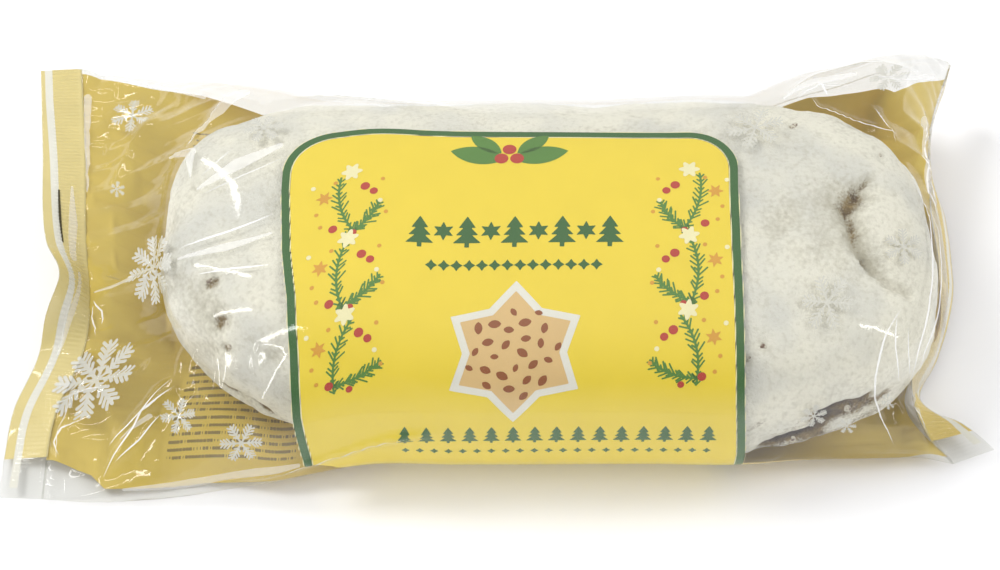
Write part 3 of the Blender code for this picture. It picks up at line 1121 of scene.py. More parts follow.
@dataclass
class Loaf:
    """The stollen: a long dome on a flat base, lumpy, folded at its right end and thick with sugar."""

    half_length: float = 0.1310
    half_width: float = 0.0652
    widest_at: float = 0.0190
    dome: float = 0.0441
    middle_y: float = 0.0010
    plan_power: float = 3.0
    side_power: float = 2.5
    end_power: float = 3.7
    base_power: float = 3.0
    base_lift: float = 1.2 * MM
    finish: SugaredCrust = field(default_factory=SugaredCrust)

    def bend(self, x: Array) -> Array:
        """How far the loaf's middle line runs off to the far side: a power of x at its left end, a step at its right."""
        return 0.0100 * np.clip((-x - 0.030) / 0.090, 0.0, None) ** 1.5 + 0.0019 * smooth_step(x, 0.010, 0.080)

    def swell(self, x: Array) -> Array:
        """The loaf's width at x over its width in the middle: its right end is the broader."""
        return 1 + 0.042 * smooth_step(x, 0.010, 0.080)

    def reach(self, points: Array) -> Array:
        """1 on the loaf's smooth envelope, less inside and more outside.

        It is ((|x/a|^m + |y/b|^m)^(n/m) + |z/c|^n)^(1/n). c is the height of the dome or the depth of the
        base, and n grows from the sides to the ends, which are steeper.
        """
        x = np.abs(points[..., 0] / self.half_length) ** self.plan_power
        y = points[..., 1] - self.middle_y - self.bend(points[..., 0])
        y = np.abs(y / (self.half_width * self.swell(points[..., 0]))) ** self.plan_power
        rise = points[..., 2] - self.widest_at
        plan = (x + y) ** (1 / self.plan_power)
        power = self.side_power + (self.end_power - self.side_power) * x / (x + y + 1e-9)
        above = (plan**power + np.abs(rise / self.dome) ** power) ** (1 / power)
        depth = self.widest_at - self.base_lift
        below = (plan**self.base_power + np.abs(rise / depth) ** self.base_power) ** (1 / self.base_power)
        return np.where(rise > 0, above, below)

    def shift_to(self, places: Array, level: float) -> Array:
        """Move places along the slope of reach, by the step that takes reach to the level if the slope holds."""
        reach = self.reach(places)
        nudge = 0.05 * MM
        slope = np.stack([self.reach(places + nudge * axis) - reach for axis in np.eye(3)], axis=-1) / nudge
        steepness = np.maximum((slope**2).sum(axis=-1), 25.0)
        return places + slope * ((level - reach) / steepness)[..., None]

    def onto(self, path: tuple) -> Array:
        """Corners of a path in millimetres, moved to the envelope in three steps."""
        places = np.array(path, float) * MM
        for _ in range(3):
            places = self.shift_to(places, 1.0)
        return places

    def envelope(self, turns: int, rings: int) -> Array:
        """Points of the smooth envelope: rings from the top to the base, each evenly spaced around."""
        angle = np.linspace(0.0, 2 * np.pi, 8 * turns + 1)
        cosine, sine = np.cos(angle), np.sin(angle)
        plan_x = np.sign(cosine) * np.abs(cosine) ** (2 / self.plan_power) * self.half_length
        plan_y = np.sign(sine) * np.abs(sine) ** (2 / self.plan_power) * self.half_width
        outline, _ = even_rows(np.stack([plan_x, plan_y, 0 * angle], axis=-1)[None], turns + 1)
        outline = outline[0, :-1]
        at_end = np.abs(outline[:, 0] / self.half_length) ** self.plan_power
        rise = self._even_angles(rings)[:, None]
        power = self.side_power + (self.end_power - self.side_power) * at_end[None]
        power = np.where(rise > 0, power, self.base_power)
        depth = np.where(rise > 0, self.dome, self.widest_at - self.base_lift)
        width = np.abs(np.cos(rise)) ** (2 / power)
        height = np.sign(np.sin(rise)) * np.abs(np.sin(rise)) ** (2 / power) * depth
        x, y = width * outline[:, 0], width * outline[:, 1]
        return np.stack([x, y * self.swell(x) + self.middle_y + self.bend(x), self.widest_at + height], axis=-1)

    def _even_angles(self, rings: int) -> Array:
        """Angles from the top to the base that space the rings evenly on a mean profile."""
        angle = np.linspace(np.pi / 2, -np.pi / 2, 8 * rings)
        power = np.where(angle > 0, (self.side_power + self.end_power) / 2, self.base_power)
        depth = np.where(angle > 0, self.dome, self.widest_at - self.base_lift)
        width = np.abs(np.cos(angle)) ** (2 / power) * self.half_width
        height = np.sign(np.sin(angle)) * np.abs(np.sin(angle)) ** (2 / power) * depth
        knots = chord_knots(np.stack([width, height], axis=-1))
        return np.interp(np.linspace(0.0, 1.0, rings), knots, angle)

    def build(self, origin: Array) -> None:
        """Make the loaf's mesh, sunk below its envelope by lumps, dents and the fold at its right end.

        Args:
            origin: the middle of the loaf on the ground, in the frame of the part.
        """
        turns, rings = 620, 155
        points = self.envelope(turns, rings)
        normal = grid_normals(points, closed=True)
        lumps = layered_noise(points, 0.030, 2, 11)
        knobs = layered_noise(points, 0.011, 2, 23)
        grit = layered_noise(points, 0.0034, 2, 31)
        sink = 0.95 * MM * (0.65 + lumps) + 0.75 * MM * (0.65 + knobs) + 0.20 * MM * (0.8 + grit)
        clean = smooth_step(layered_noise(points, 0.026, 2, 83), -0.25, 0.45)
        # Painted shade: the sugar greys where the knobs and grit sink the crust deepest, so the small hollows look
        # shaded; the clean mask lightens it at random.
        damp_and_hollow_shade = (0.24 * smooth_step(knobs, 0.0, 1.1) + 0.15 * smooth_step(grit, 0.1, 1.0)) * (1.15 - 0.8 * clean)
        height = points[..., 2]
        bare = 0.50 * (1 - smooth_step(height, 0.003, 0.014)) * (0.7 + 0.5 * lattice_noise(points, 0.012, 5))
        bare += 0.16 * smooth_step(layered_noise(points, 0.016, 3, 57), 0.35, 1.0)
        for dent in DENTS:
            deeper, browner = dent.press(points, self.onto(dent.path))
            sink += deeper
            bare += browner
            # Painted shade: each dent greys the sugar in it by its own depth.
            damp_and_hollow_shade += 0.28 * np.clip(deeper / MM, 0.0, 3.0)
        points = points - normal * np.maximum(sink, 0.05 * MM)[..., None]
        points[..., 2] = np.maximum(points[..., 2], self.base_lift)
        marks = {"bare": bare.ravel(), "damp_and_hollow_shade": damp_and_hollow_shade.ravel()}
        flat = points.reshape(-1, 3) + origin
        faces = grid_faces(rings, turns, closed=True)
        make_object("loaf", flat, [faces], self.finish.material(), marks=marks)
        self._add_fruit(points, grid_normals(points, closed=True), origin)

    def _add_fruit(self, points: Array, normal: Array, origin: Array) -> None:
        """Sink raisins into the crust so that a part of each shows.

        A raisin is an ellipsoid whose radius is creased by noise.
        """
        across, down = 40, 24
        angle = np.linspace(0, 2 * np.pi, across, endpoint=False)[None]
        rise = np.linspace(np.pi / 2, -np.pi / 2, down)[:, None]
        ball = np.stack([np.cos(rise) * np.cos(angle), np.cos(rise) * np.sin(angle), np.sin(rise) + 0 * angle], axis=-1)
        faces = grid_faces(down, across, closed=True)
        flat_points, flat_normals = points.reshape(-1, 3), normal.reshape(-1, 3)
        random = np.random.default_rng(9)
        parts = []
        for index, place in enumerate(self.onto(FRUIT)):
            nearest = np.argmin(np.linalg.norm(flat_points - place, axis=1))
            up = flat_normals[nearest]
            side = np.cross(up, random.normal(size=3))
            side /= np.linalg.norm(side)
            size = np.array([2.9, 2.1, 1.8]) * MM * random.uniform(0.80, 1.15)
            shrink = 1 - 0.10 * (1 + layered_noise(ball * 0.010 + index * 0.1, 0.0065, 3, 71))
            shape = ball * shrink[..., None] * size
            turned_ball = shape[..., :1] * side + shape[..., 1:2] * np.cross(up, side) + shape[..., 2:] * up
            centre = flat_points[nearest] - up * size[2] * 0.74
            parts.append((turned_ball.reshape(-1, 3) + centre + origin, faces))
        raisins, all_faces = join_parts(parts)
        make_object("raisins", raisins, [all_faces], Raisin().material())


@dataclass(frozen=True)
class Dent:
    """A hollow or crease in the crust: a path in millimetres from the loaf's middle, pressed in."""

    path: tuple
    depth: float  # mm
    width: float  # mm
    # Past about 1, bare turns the crust near black: burnt crust, and partly painted shade.
    bare: float = 0.0  # how much sugar has gone

    def press(self, points: Array, path: Array) -> tuple[Array, Array]:
        """Depth in metres and bareness: a bell curve of the distance to the path on the crust."""
        if len(path) == 1:
            distance = np.linalg.norm(points - path[0], axis=-1)
        else:
            distance, _ = path_distance(points, path)
        ragged = self.width * MM * (1 + 0.35 * lattice_noise(points, 0.006, 77) + 0.20 * lattice_noise(points, 0.0022, 78))
        bell = np.exp(-((distance / ragged) ** 2))
        return self.depth * MM * bell, self.bare * np.exp(-((distance / (0.75 * ragged)) ** 2))


DENTS = (
    Dent(((107, 21, 56), (103, 16, 57), (100, 10, 58), (98, 6, 58), (99, 2, 58), (99, -5, 58), (102, -12, 57)), 2.3, 2.1, 0.30),
    Dent(((102, -12, 57), (105, -16, 56), (109, -20, 54), (116, -22, 50)), 2.1, 2.0, 0.24),
    Dent(((102, 13, 58), (98, 6, 59), (100, -6, 58), (104, -14, 56)), 1.5, 5.0, 0.06),
    Dent(((97, 8, 58), (100, 13, 58)), 0.5, 6.6, 0.46),
    Dent(((105, 18, 57),), 0.4, 4.4, 0.36),
    Dent(((99, 3, 58), (99, -3, 58)), 0.6, 3.2, 0.28),
    Dent(((113, 2, 54),), -2.4, 13.0),
    Dent(((92, 14, 60), (90, -2, 60), (94, -18, 57)), 0.8, 6.0),
    Dent(((80, 7, 61), (75, -1, 62), (72, -6, 62)), 1.2, 3.6, 0.16),
    Dent(((82, 43, 56),), 1.6, 2.4, 0.60),
    Dent(((112, 33, 52),), 1.2, 2.6, 0.40),
    Dent(((-112, -19, 52), (-109, -18, 53)), 1.8, 2.8, 0.62),
    Dent(((-107, -31, 48), (-109, -32, 46)), 2.2, 3.4, 0.66),
    Dent(((-106, -38, 41),), 1.8, 2.8, 0.66),
    Dent(((-122, -15, 45), (-115, -21, 48), (-111, -26, 48)), 1.6, 5.5, 0.22),
    Dent(((-90, -44, 46),), 1.6, 4.2, 0.08),
    Dent(((-114, -27, 40), (-110, -34, 36)), 1.2, 5.0, 0.10),
    Dent(((-108, -40, 18), (-104, -43, 20)), 1.2, 2.0, 0.55),
    Dent(((-98, -47, 20), (-93, -49, 17), (-86, -50, 13)), 1.6, 2.2, 0.85),
    Dent(((-118, -32, 19), (-100, -46, 18)), 0.8, 4.0, 0.25),
    Dent(((67, -45, 55),), 1.2, 2.2, 0.50),
    Dent(((62, -49, 53),), 1.2, 2.2, 0.50),
    Dent(((75, -46, 54),), -1.0, 4.0),
    # The dents below, bare past 1, make the near-black crust along the loaf's lower near edge: partly burnt crust,
    # partly painted shade by the ground.
    Dent(((70, -61, 15), (76, -60, 19), (83, -59, 21), (89, -57, 24)), 2.2, 3.4, 1.00),
    Dent(((74, -60, 17), (80, -59, 19), (85, -58, 20)), 1.2, 3.0, 0.90),
    Dent(((88, -57, 30), (93, -55, 31), (98, -53, 30), (104, -51, 29)), 2.2, 2.4, 1.15),
    Dent(((92, -55, 26), (102, -51, 25), (110, -46, 25)), 1.0, 4.2, 0.70),
    Dent(((86, -58, 30), (89, -57, 24), (88, -57, 18)), 0.6, 4.6, 0.60),
    Dent(((64, -61, 30), (68, -60, 33)), 0.5, 3.4, 0.36),
    Dent(((92, -54, 38), (102, -50, 36)), 0.6, 6.0, 0.26),
    Dent(((70, -61, 22), (84, -58, 28)), 0.4, 6.5, 0.26),
    Dent(((74, -60, 12), (92, -55, 15), (108, -46, 18)), 0.4, 5.5, 0.50),
    Dent(((100, 50, 48), (108, 46, 45)), 1.2, 4.0, 0.15),
)
FRUIT = (
    (82, 43, 56), (112, 33, 52), (-107, -31, 48), (-106, -38, 41), (-111, -19, 52), (67, -45, 55), (62, -48, 53),
    (80, -59, 17), (98, -54, 28), (-60, 64, 30), (20, 66, 26), (-20, -66, 12), (45, 65, 34), (-100, 56, 30),
)


# ---------------------------------------------------------------------------------------------
# The film, buckled over the loaf
# ---------------------------------------------------------------------------------------------


@dataclass
class Film:
    """The flow wrap between its seals: one closed ring of grid points to each row along the pack.

    Columns 0 to steps run over the front web from the near fold to the far fold, and the others run back
    under the loaf along the back web.
    """

    form: PackForm
    loaf: Loaf
    rows: int = 352
    steps: int = 140
    clearance: float = 0.7 * MM  # from the loaf's envelope to the film
    finish: ClearFilm = field(default_factory=ClearFilm)

    def __post_init__(self) -> None:
        self.relax()
        self.normals = grid_normals(self.grid, closed=True)
        self.surface = self._make_surface()

    def rings(self, rows: int, steps: int) -> tuple[Array, Array, Array]:
        """The form as closed rings, with each row's length over the front web and over the back web."""
        along = np.linspace(0.0, 1.0, rows + 1)
        crowded = 0.5 - 0.5 * np.cos(np.linspace(0.0, np.pi, 241))
        front, front_length = even_rows(self.form.web(Web.FRONT, along, crowded), steps + 1)
        back, back_length = even_rows(self.form.web(Web.BACK, along, crowded), steps + 1)
        start, end = self.form.near_fold[0][0], self.form.near_fold[-1][0]
        x = np.repeat(start + (end - start) * along[:, None], steps + 1, axis=1)
        s = np.linspace(0.0, 1.0, steps + 1)[None] * front_length[:, None]
        rise = sum(crease.rise(x, s) for crease in CREASES)
        still = smooth_step(along, 0.0, 0.012) * (1 - smooth_step(along, 0.988, 1.0))
        front = front + grid_normals(front, closed=False) * (rise * still[:, None])[..., None]
        return np.concatenate([front, back[:, ::-1]], axis=1), front_length, back_length

    def slack(self, grid: Array, steps: int) -> tuple[Array, Array]:
        """How much longer the film is than its form, along and around, at each point of the grid."""
        x, y = grid[..., 0], grid[..., 1]
        front = np.zeros(grid.shape[1])
        front[: steps + 1] = 1.0
        panel = (1 - smooth_step(np.abs(x + 0.012), 0.075, 0.100)) * front
        left = 1 - smooth_step(x, -0.130, -0.075)
        right = smooth_step(x, 0.065, 0.105)
        ends = np.maximum(left, right)
        around = (0.003 + 0.045 * ends) * (1 - panel)
        along = (0.003 + 0.022 * ends) * (1 - panel)
        return along, around

    def relax(self) -> None:
        """Let the film buckle, first on a coarse grid and then on finer ones."""
        moved = None
        for level, (divide, turns) in enumerate(((4, 260), (2, 160), (1, 70))):
            rows, steps = self.rows // divide, self.steps // divide
            base, front_length, back_length = self.rings(rows, steps)
            moved = np.zeros_like(base) if moved is None else self._refine(moved, steps)
            self.grid = self._settle(base, moved, steps, turns, level)
            moved = self.grid - base
            LOG.info("film settled on %d x %d", *self.grid.shape[:2])
        self.front_length, self.back_length = front_length, back_length

    @staticmethod
    def _refine(moved: Array, steps: int) -> Array:
        """Spread a coarse grid's moves over one with twice the rows and steps, halving each stretch."""
        half = steps // 2
        webs = [moved[:, : half + 1], moved[:, half + 1 :]]
        fine = []
        for web in webs:
            rows = np.zeros((2 * web.shape[0] - 1, *web.shape[1:]))
            rows[::2] = web
            rows[1::2] = (web[:-1] + web[1:]) / 2
            both = np.zeros((rows.shape[0], 2 * rows.shape[1] - 1, 3))
            both[:, ::2] = rows
            both[:, 1::2] = (rows[:, :-1] + rows[:, 1:]) / 2
            fine.append(both)
        return np.concatenate(fine, axis=1)

    def _settle(self, base: Array, moved: Array, steps: int, turns: int, level: int) -> Array:
        """Move the grid until its stretches have their rest lengths and it lies clear of the loaf.

        Each turn pulls every pair of neighbours towards its rest length, first the even pairs and then the
        odd ones, smooths the sheet a little, draws it back to its form, and lifts it off loaf and ground.

        Args:
            base: the form, as rings.
            moved: where the coarser grid had moved it.
            steps: steps across each web.
            turns: how many turns.
            level: which refinement, for the seed of the first unevenness.

        Returns:
            The settled grid.
        """
        film = base + moved
        along, around = self.slack(base, steps)
        free = along + around
        normal = grid_normals(base, closed=True)
        height = (1.1 * MM, 0.35 * MM, 0.12 * MM)[level]
        start = lattice_noise(base, (16 * MM, 7 * MM, 3 * MM)[level], 40 + level)
        film = film + normal * (start * height * np.clip(free / 0.05, 0.0, 1.2))[..., None]
        rest_along = np.linalg.norm(np.diff(base, axis=0), axis=2) * (1 + (along[1:] + along[:-1]) / 2)
        next_around = np.roll(around, -1, axis=1)
        rest_around = np.linalg.norm(np.roll(base, -1, axis=1) - base, axis=2) * (1 + (around + next_around) / 2)
        slant = np.roll(base, -1, axis=1)
        mean = 1 + (free[1:] + free[:-1]) / 4
        rest_down = np.linalg.norm(slant[1:] - base[:-1], axis=2) * mean
        rest_up = np.linalg.norm(base[1:] - slant[:-1], axis=2) * mean
        hold = (0.003 + 0.05 * (free < 0.006))[..., None]
        count = film.shape[1]
        order = np.arange(count)
        after = np.roll(order, -1)
        for turn in range(turns):
            for start_row in (0, 1):
                a, b = film[start_row:-1:2], film[start_row + 1 :: 2]
                self._pull(a, b, rest_along[start_row::2], 0.5)
            for first in (0, 1):
                left, right = order[first::2], after[first::2]
                a, b = film[:, left], film[:, right]
                self._pull(a, b, rest_around[:, left], 0.5)
                film[:, left], film[:, right] = a, b
            for start_row in (0, 1):
                rows = film[start_row:-1:2]
                below = film[start_row + 1 :: 2]
                a, b = rows.copy(), below[:, after]
                self._pull(a, b, rest_down[start_row::2], 0.25)
                film[start_row:-1:2] = a
                below[:, after] = b
                a, b = film[start_row:-1:2][:, after], below.copy()
                self._pull(a, b, rest_up[start_row::2], 0.25)
                rows[:, after] = a
                film[start_row + 1 :: 2] = b
            film[1:-1] += 0.02 * (film[2:] + film[:-2] - 2 * film[1:-1])
            film += 0.02 * (np.roll(film, 1, axis=1) + np.roll(film, -1, axis=1) - 2 * film)
            film += hold * (base - film)
            film[0], film[-1] = base[0], base[-1]
            self._clear(film, steps)
        return film

    @staticmethod
    def _pull(a: Array, b: Array, rest: Array, share: float) -> None:
        """Move both ends of each stretch so that its length nears the rest length, in place."""
        gap = b - a
        length = np.maximum(np.linalg.norm(gap, axis=-1), 1e-9)
        shift = gap * (share * (1 - rest / length))[..., None]
        a += shift
        b -= shift

    def _clear(self, film: Array, steps: int) -> None:
        """Push the film out of the loaf, off the ground, and the front web above the back web, in place."""
        limit = 1 + self.clearance / self.loaf.dome
        inside = self.loaf.reach(film) < limit
        film[inside] = self.loaf.shift_to(film[inside], limit)
        film[..., 2] = np.maximum(film[..., 2], self.form.under_film)
        front, back = film[:, : steps + 1], film[:, steps + 1 :][:, ::-1]
        low = self.form.seal_gap - (front[..., 2] - back[..., 2])
        lift = np.where(low > 0, low, 0.0)
        lift[[0, -1]] = 0.0
        front[..., 2] += lift

    def build(self, origin: Array) -> bpy.types.Object:
        """Make the film's mesh, closed at both seals."""
        triangles = shell_faces(len(self.grid), self.steps + 1)
        flat = self.grid.reshape(-1, 3) + origin
        piece = make_object("film", flat, [triangles], self.finish.material())
        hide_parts(PACK_NODE)
        return piece

    def _make_surface(self) -> Surface:
        """The film with x from its folded edges, and s around it from the near fold."""
        rows, count = self.grid.shape[:2]
        start, end = self.form.near_fold[0][0], self.form.near_fold[-1][0]
        x = np.repeat(np.linspace(start, end, rows)[:, None], count, axis=1)
        share = np.linspace(0.0, 1.0, self.steps + 1)[None]
        front = share * self.front_length[:, None]
        back = -share[:, ::-1] * self.back_length[:, None]
        return Surface(self.grid, self.normals, x, np.concatenate([front, back], axis=1))

    def reach_of(self, motif: Motif) -> tuple[tuple[int, int], tuple[int, int]]:
        """Rows and columns of the film that hold a motif."""
        start, end = self.form.near_fold[0][0], self.form.near_fold[-1][0]
        per_row = (end - start) / self.rows
        rows = (
            int((motif.x - motif.radius - start) / per_row) - 2,
            int((motif.x + motif.radius - start) / per_row) + 3,
        )
        middle = min(max((rows[0] + rows[1]) // 2, 0), self.rows)
        if motif.s >= 0:
            per_column = self.front_length[middle] / self.steps
            low = int((motif.s - motif.radius) / per_column) - 3
            return rows, (low, min(int((motif.s + motif.radius) / per_column) + 4, self.steps))
        per_column = self.back_length[middle] / self.steps
        low = int((motif.s - motif.radius) / per_column) - 4
        return rows, (max(low, -self.steps - 1), min(int((motif.s + motif.radius) / per_column) + 3, self.steps))


@dataclass(frozen=True)
class LabelPanel:
    """The yellow panel over the top of the loaf: its own slightly skewed coordinates and its outline."""

    left: tuple = ((8, -80.4), (27, -83.0), (47, -83.8), (66, -84.7), (82, -87.2), (105, -88.9))  # s, x in mm
    right: tuple = ((4, 63.0), (27, 61.0), (47, 59.8), (74, 58.3), (100, 57.4))
    top_s: float = 0.1272
    foot_s: float = -0.0240
    corner: float = 0.0170
    tuck: tuple = (-0.0804, 0.0080)  # where the near left corner is folded under

    def distance(self, x: Array, s: Array, inset: float = 0.0) -> Array:
        """Distance to the panel's rounded outline, drawn in by inset.

        The side edges follow their corners and the top edge falls by 0.015 of x to the right. A slanting
        line cuts off the near left corner, which the fold in the film hides.
        """
        left, right = (
            np.interp(s, *(np.array(edge, float).T * MM)) for edge in (self.left, self.right)
        )
        a = x - (left + right) / 2
        top = self.top_s - 0.015 * (x + 0.012)
        b = s - (top + self.foot_s) / 2
        half = ((right - left) / 2 - inset, (top - self.foot_s) / 2 - inset)
        tucked = (self.tuck[1] - s) * 0.78 - (x - self.tuck[0]) * 0.62
        return np.maximum(rounded_box_varying(a, b, half, self.corner - inset), tucked)

    def columns(self, film: Film) -> tuple[tuple[int, int], tuple[int, int]]:
        """Rows and columns of the film that hold the panel."""
        start, end = film.form.near_fold[0][0], film.form.near_fold[-1][0]
        per_row = (end - start) / film.rows
        rows = (int((-0.0970 - start) / per_row), int((0.0700 - start) / per_row))
        low = int(self.foot_s / (film.back_length.max() / film.steps)) - 8
        high = int((self.top_s + 0.012) / (film.front_length.min() / film.steps)) + 8
        return rows, (low, min(high, film.steps))


def rounded_box_varying(a: Array, b: Array, half: tuple[Array, Array], radius: float) -> Array:
    """Distance to a rounded rectangle whose half sizes vary from place to place."""
    over_a, over_b = np.abs(a) - half[0] + radius, np.abs(b) - half[1] + radius
    outer = np.hypot(np.maximum(over_a, 0.0), np.maximum(over_b, 0.0))
    return outer + np.minimum(np.maximum(over_a, over_b), 0.0) - radius


@dataclass
class SealBand:
    """One end seal: both webs pressed flat together, ribbed by the hot jaws and cut straight."""

    film: Film
    left: bool
    lines: int = 860
    pitch: float = 1.55 * MM
    rib: float = 0.16 * MM
    half_thickness: float = 0.20 * MM
    overlap: float = 0.6 * MM  # how far it reaches back into the film
    steps: int = 26
    stripe_inward: tuple = (0.0020, 0.0032, 0.0034, 0.0022, 0.0016, 0.0002)

    def __post_init__(self) -> None:
        """Lay out the band's surface."""
        self.surface = self._make_surface()

    def _make_surface(self) -> Surface:
        """Top face outwards and bottom face back, as a closed ring at each place along the seal.

        The ribs are a sine wave along the seal that dies away near the band's inner and outer edges.
        """
        form = self.film.form
        dense = np.linspace(0.0, 1.0, 1600)
        line, outward, normal = form.seal_line(self.left, dense)
        reach = chord_knots(line)
        share = np.linspace(0.0, 1.0, self.lines)
        along = [np.stack([np.interp(share, reach, part[:, k]) for k in range(3)], axis=1) for part in (line, outward, normal)]
        line, outward, normal = (part[:, None] for part in along)
        length = self.film.front_length[0 if self.left else -1]
        s = (share * length)[:, None]
        t = np.linspace(-self.overlap, form.seal_band, self.steps)[None]
        ribs = np.sin(2 * np.pi * s / self.pitch) * smooth_step(t, 0.4 * MM, 1.6 * MM)
        ribs = ribs * (1 - smooth_step(t, form.seal_band - 4.6 * MM, form.seal_band - 3.6 * MM))
        if self.left:
            ribs = ribs * (0.25 + 0.75 * smooth_step(s, 0.050, 0.078))
        place = np.stack([s + 0 * t, t + 0 * s, 0 * s * t], axis=-1)
        wave = 1.1 * MM * layered_noise(place, 0.022, 2, 61 + self.left) * smooth_step(t, 0.0, form.seal_band)
        half = self.half_thickness + (form.seal_gap - self.half_thickness) * (1 - smooth_step(t, 0.0, 2.0 * MM))
        middle = line + outward * t[..., None] + normal * (self.rib * ribs + wave)[..., None]
        top, bottom = middle + normal * half[..., None], middle - normal * half[..., None]
        grid = np.concatenate([top, bottom[:, ::-1]], axis=1)
        edge = form.near_fold[0][0] if self.left else form.near_fold[-1][0]
        x = edge + (-t if self.left else t) + 0 * s
        x, s = (np.concatenate([part, part[:, ::-1]], axis=1) for part in (x, s + 0 * t))
        if not self.left:
            grid, x, s = grid[::-1], x[::-1], s[::-1]
        grid = grid.copy()
        grid[..., 2] = np.maximum(grid[..., 2], 0.3 * MM)
        return Surface(grid, grid_normals(grid, closed=True), x, s)

    def reach_of(self, motif: Motif) -> tuple[tuple[int, int], tuple[int, int]]:
        """Rows and columns of the band that hold a motif."""
        length = self.film.front_length[0 if self.left else -1]
        low, high = ((motif.s + side * motif.radius) / length * (self.lines - 1) for side in (-1, 1))
        if not self.left:
            low, high = self.lines - 1 - high, self.lines - 1 - low
        return (int(low) - 2, int(high) + 3), (0, self.steps - 1)

    def build(self, wrapping: "Wrapping") -> None:
        """Make the band's film, its gold and its white stripe."""
        name = "left_seal" if self.left else "right_seal"
        points = self.surface.points.reshape(-1, 3) + wrapping.origin
        faces = shell_faces(self.lines, self.steps)
        make_object(name + "_film", points, [faces], self.film.finish.material())
        outer = abs(self.film.form.near_fold[0 if self.left else -1][0]) + self.film.form.seal_band
        window = ((0, self.lines - 1), (0, self.steps - 1))

        def stripe(x: Array, s: Array) -> Array:
            """A stripe along the cut edge. On the left seal it runs further in, most of all below the kink."""
            inward = np.interp(s, (0.025, 0.060, 0.078, 0.092, 0.116, 0.160), self.stripe_inward) if self.left else 0.0
            return np.abs(outer - np.abs(x) - 2.7 * MM - inward) - 1.35 * MM

        def gold(x: Array, s: Array) -> Array:
            """All but the stripe and the clear near corner."""
            return np.maximum(-stripe(x, s), 0.015 - s if self.left else 0.010 - s)

        ink = wrapping.pale_gold if self.left else wrapping.seal_gold
        wrapping.print_field(name + "_gold", ink, gold, window, 2, self.half_thickness, self.surface)
        wrapping.print_field(
            name + "_stripe",
            wrapping.white,
            lambda x, s: np.maximum(stripe(x, s), 0.004 - s),
            window,
            2,
            0.8 * self.half_thickness,
            self.surface,
        )
        if self.left:
            self._details(wrapping)

    def _details(self, wrapping: "Wrapping") -> None:
        """The snowflake that runs over from the film, a painted shadow line in the seal's fold beside the stripe, and
        painted reflection haze in white streaks.
        """
        # Painted shadow: a dark stroke in the seal's fold beside the stripe.
        dark = Streak.along(((-175.4, 92), (-175.8, 104), (-176.0, 116)), (0.25, 0.45, 0.30))
        # Painted reflection haze: white streaks on the seal band.
        haze = (
            Streak.along(((-171.5, 118), (-171.2, 101), (-172.5, 86)), (0.4, 1.6, 1.2)),
            Streak.along(((-171.5, 80), (-173.5, 66), (-175.0, 52)), (0.6, 1.2, 0.4)),
        )
        sheets = (
            ("left_seal_flake", "white_print", wrapping.flake_white, [wrapping.end_flake], -0.06 * MM),
            ("left_seal_painted_fold_shadow", "brown_print", wrapping.fold_shadow_paint, [dark], -0.05 * MM),
            ("left_seal_painted_reflection", "clear_film", wrapping.reflection_paint, haze, -0.04 * MM),
        )
        for name, slot, ink, motifs, depth in sheets:
            parts = [self.surface.print_on(motif.distance, *self.reach_of(motif), 3, depth) for motif in motifs]
            points, faces = join_parts(parts)
            make_object(name, points + wrapping.origin, [faces], ink.material())


@dataclass
class FinSeam:
    """The long seam under the pack: the web's two edges welded, ribbed and folded flat."""

    film: Film
    width: float = 13.0 * MM
    middle: float = 0.074  # from the near fold
    pitch: float = 1.55 * MM
    lines: int = 1300
    steps: int = 8

    def build(self, wrapping: "Wrapping") -> None:
        """Lay a ribbed strip on the back web's outer face."""
        rows = np.linspace(6, self.film.rows - 6, self.lines)
        grid, normals = self.film.grid, self.film.normals
        share = (self.middle + np.linspace(0.5, -0.5, self.steps) * self.width) / self.film.back_length.mean()
        columns = (1 - share) * self.film.steps + self.film.steps + 1
        low = np.minimum(rows.astype(int), self.film.rows - 1)[:, None]
        part = (rows[:, None] - low)[..., None]
        column = columns.astype(int)[None]
        beside = (columns[None] - column)[..., None]

        def read(nodes: Array) -> Array:
            """Bilinear reading of the film's grid."""
            near = nodes[low, column] * (1 - beside) + nodes[low, column + 1] * beside
            far = nodes[low + 1, column] * (1 - beside) + nodes[low + 1, column + 1] * beside
            return near * (1 - part) + far * part

        base, outward = read(grid), read(normals)
        x = base[..., :1]
        ribs = 0.07 * MM * np.sin(2 * np.pi * x / self.pitch)
        inner, outer = base + outward * 0.05 * MM, base + outward * (0.35 * MM + ribs)
        shell = np.concatenate([outer, inner[:, ::-1]], axis=1)
        shell[..., 2] = np.maximum(shell[..., 2], 0.06 * MM)
        points = shell.reshape(-1, 3) + wrapping.origin
        faces = shell_faces(self.lines, self.steps)
        make_object("fin_seam_film", points, [faces], self.film.finish.material())
        gold = (base + outward * (0.20 * MM + ribs)).reshape(-1, 3) + wrapping.origin
        make_object("fin_seam_gold", gold, [grid_faces(self.lines, self.steps)], wrapping.pale_gold.material())


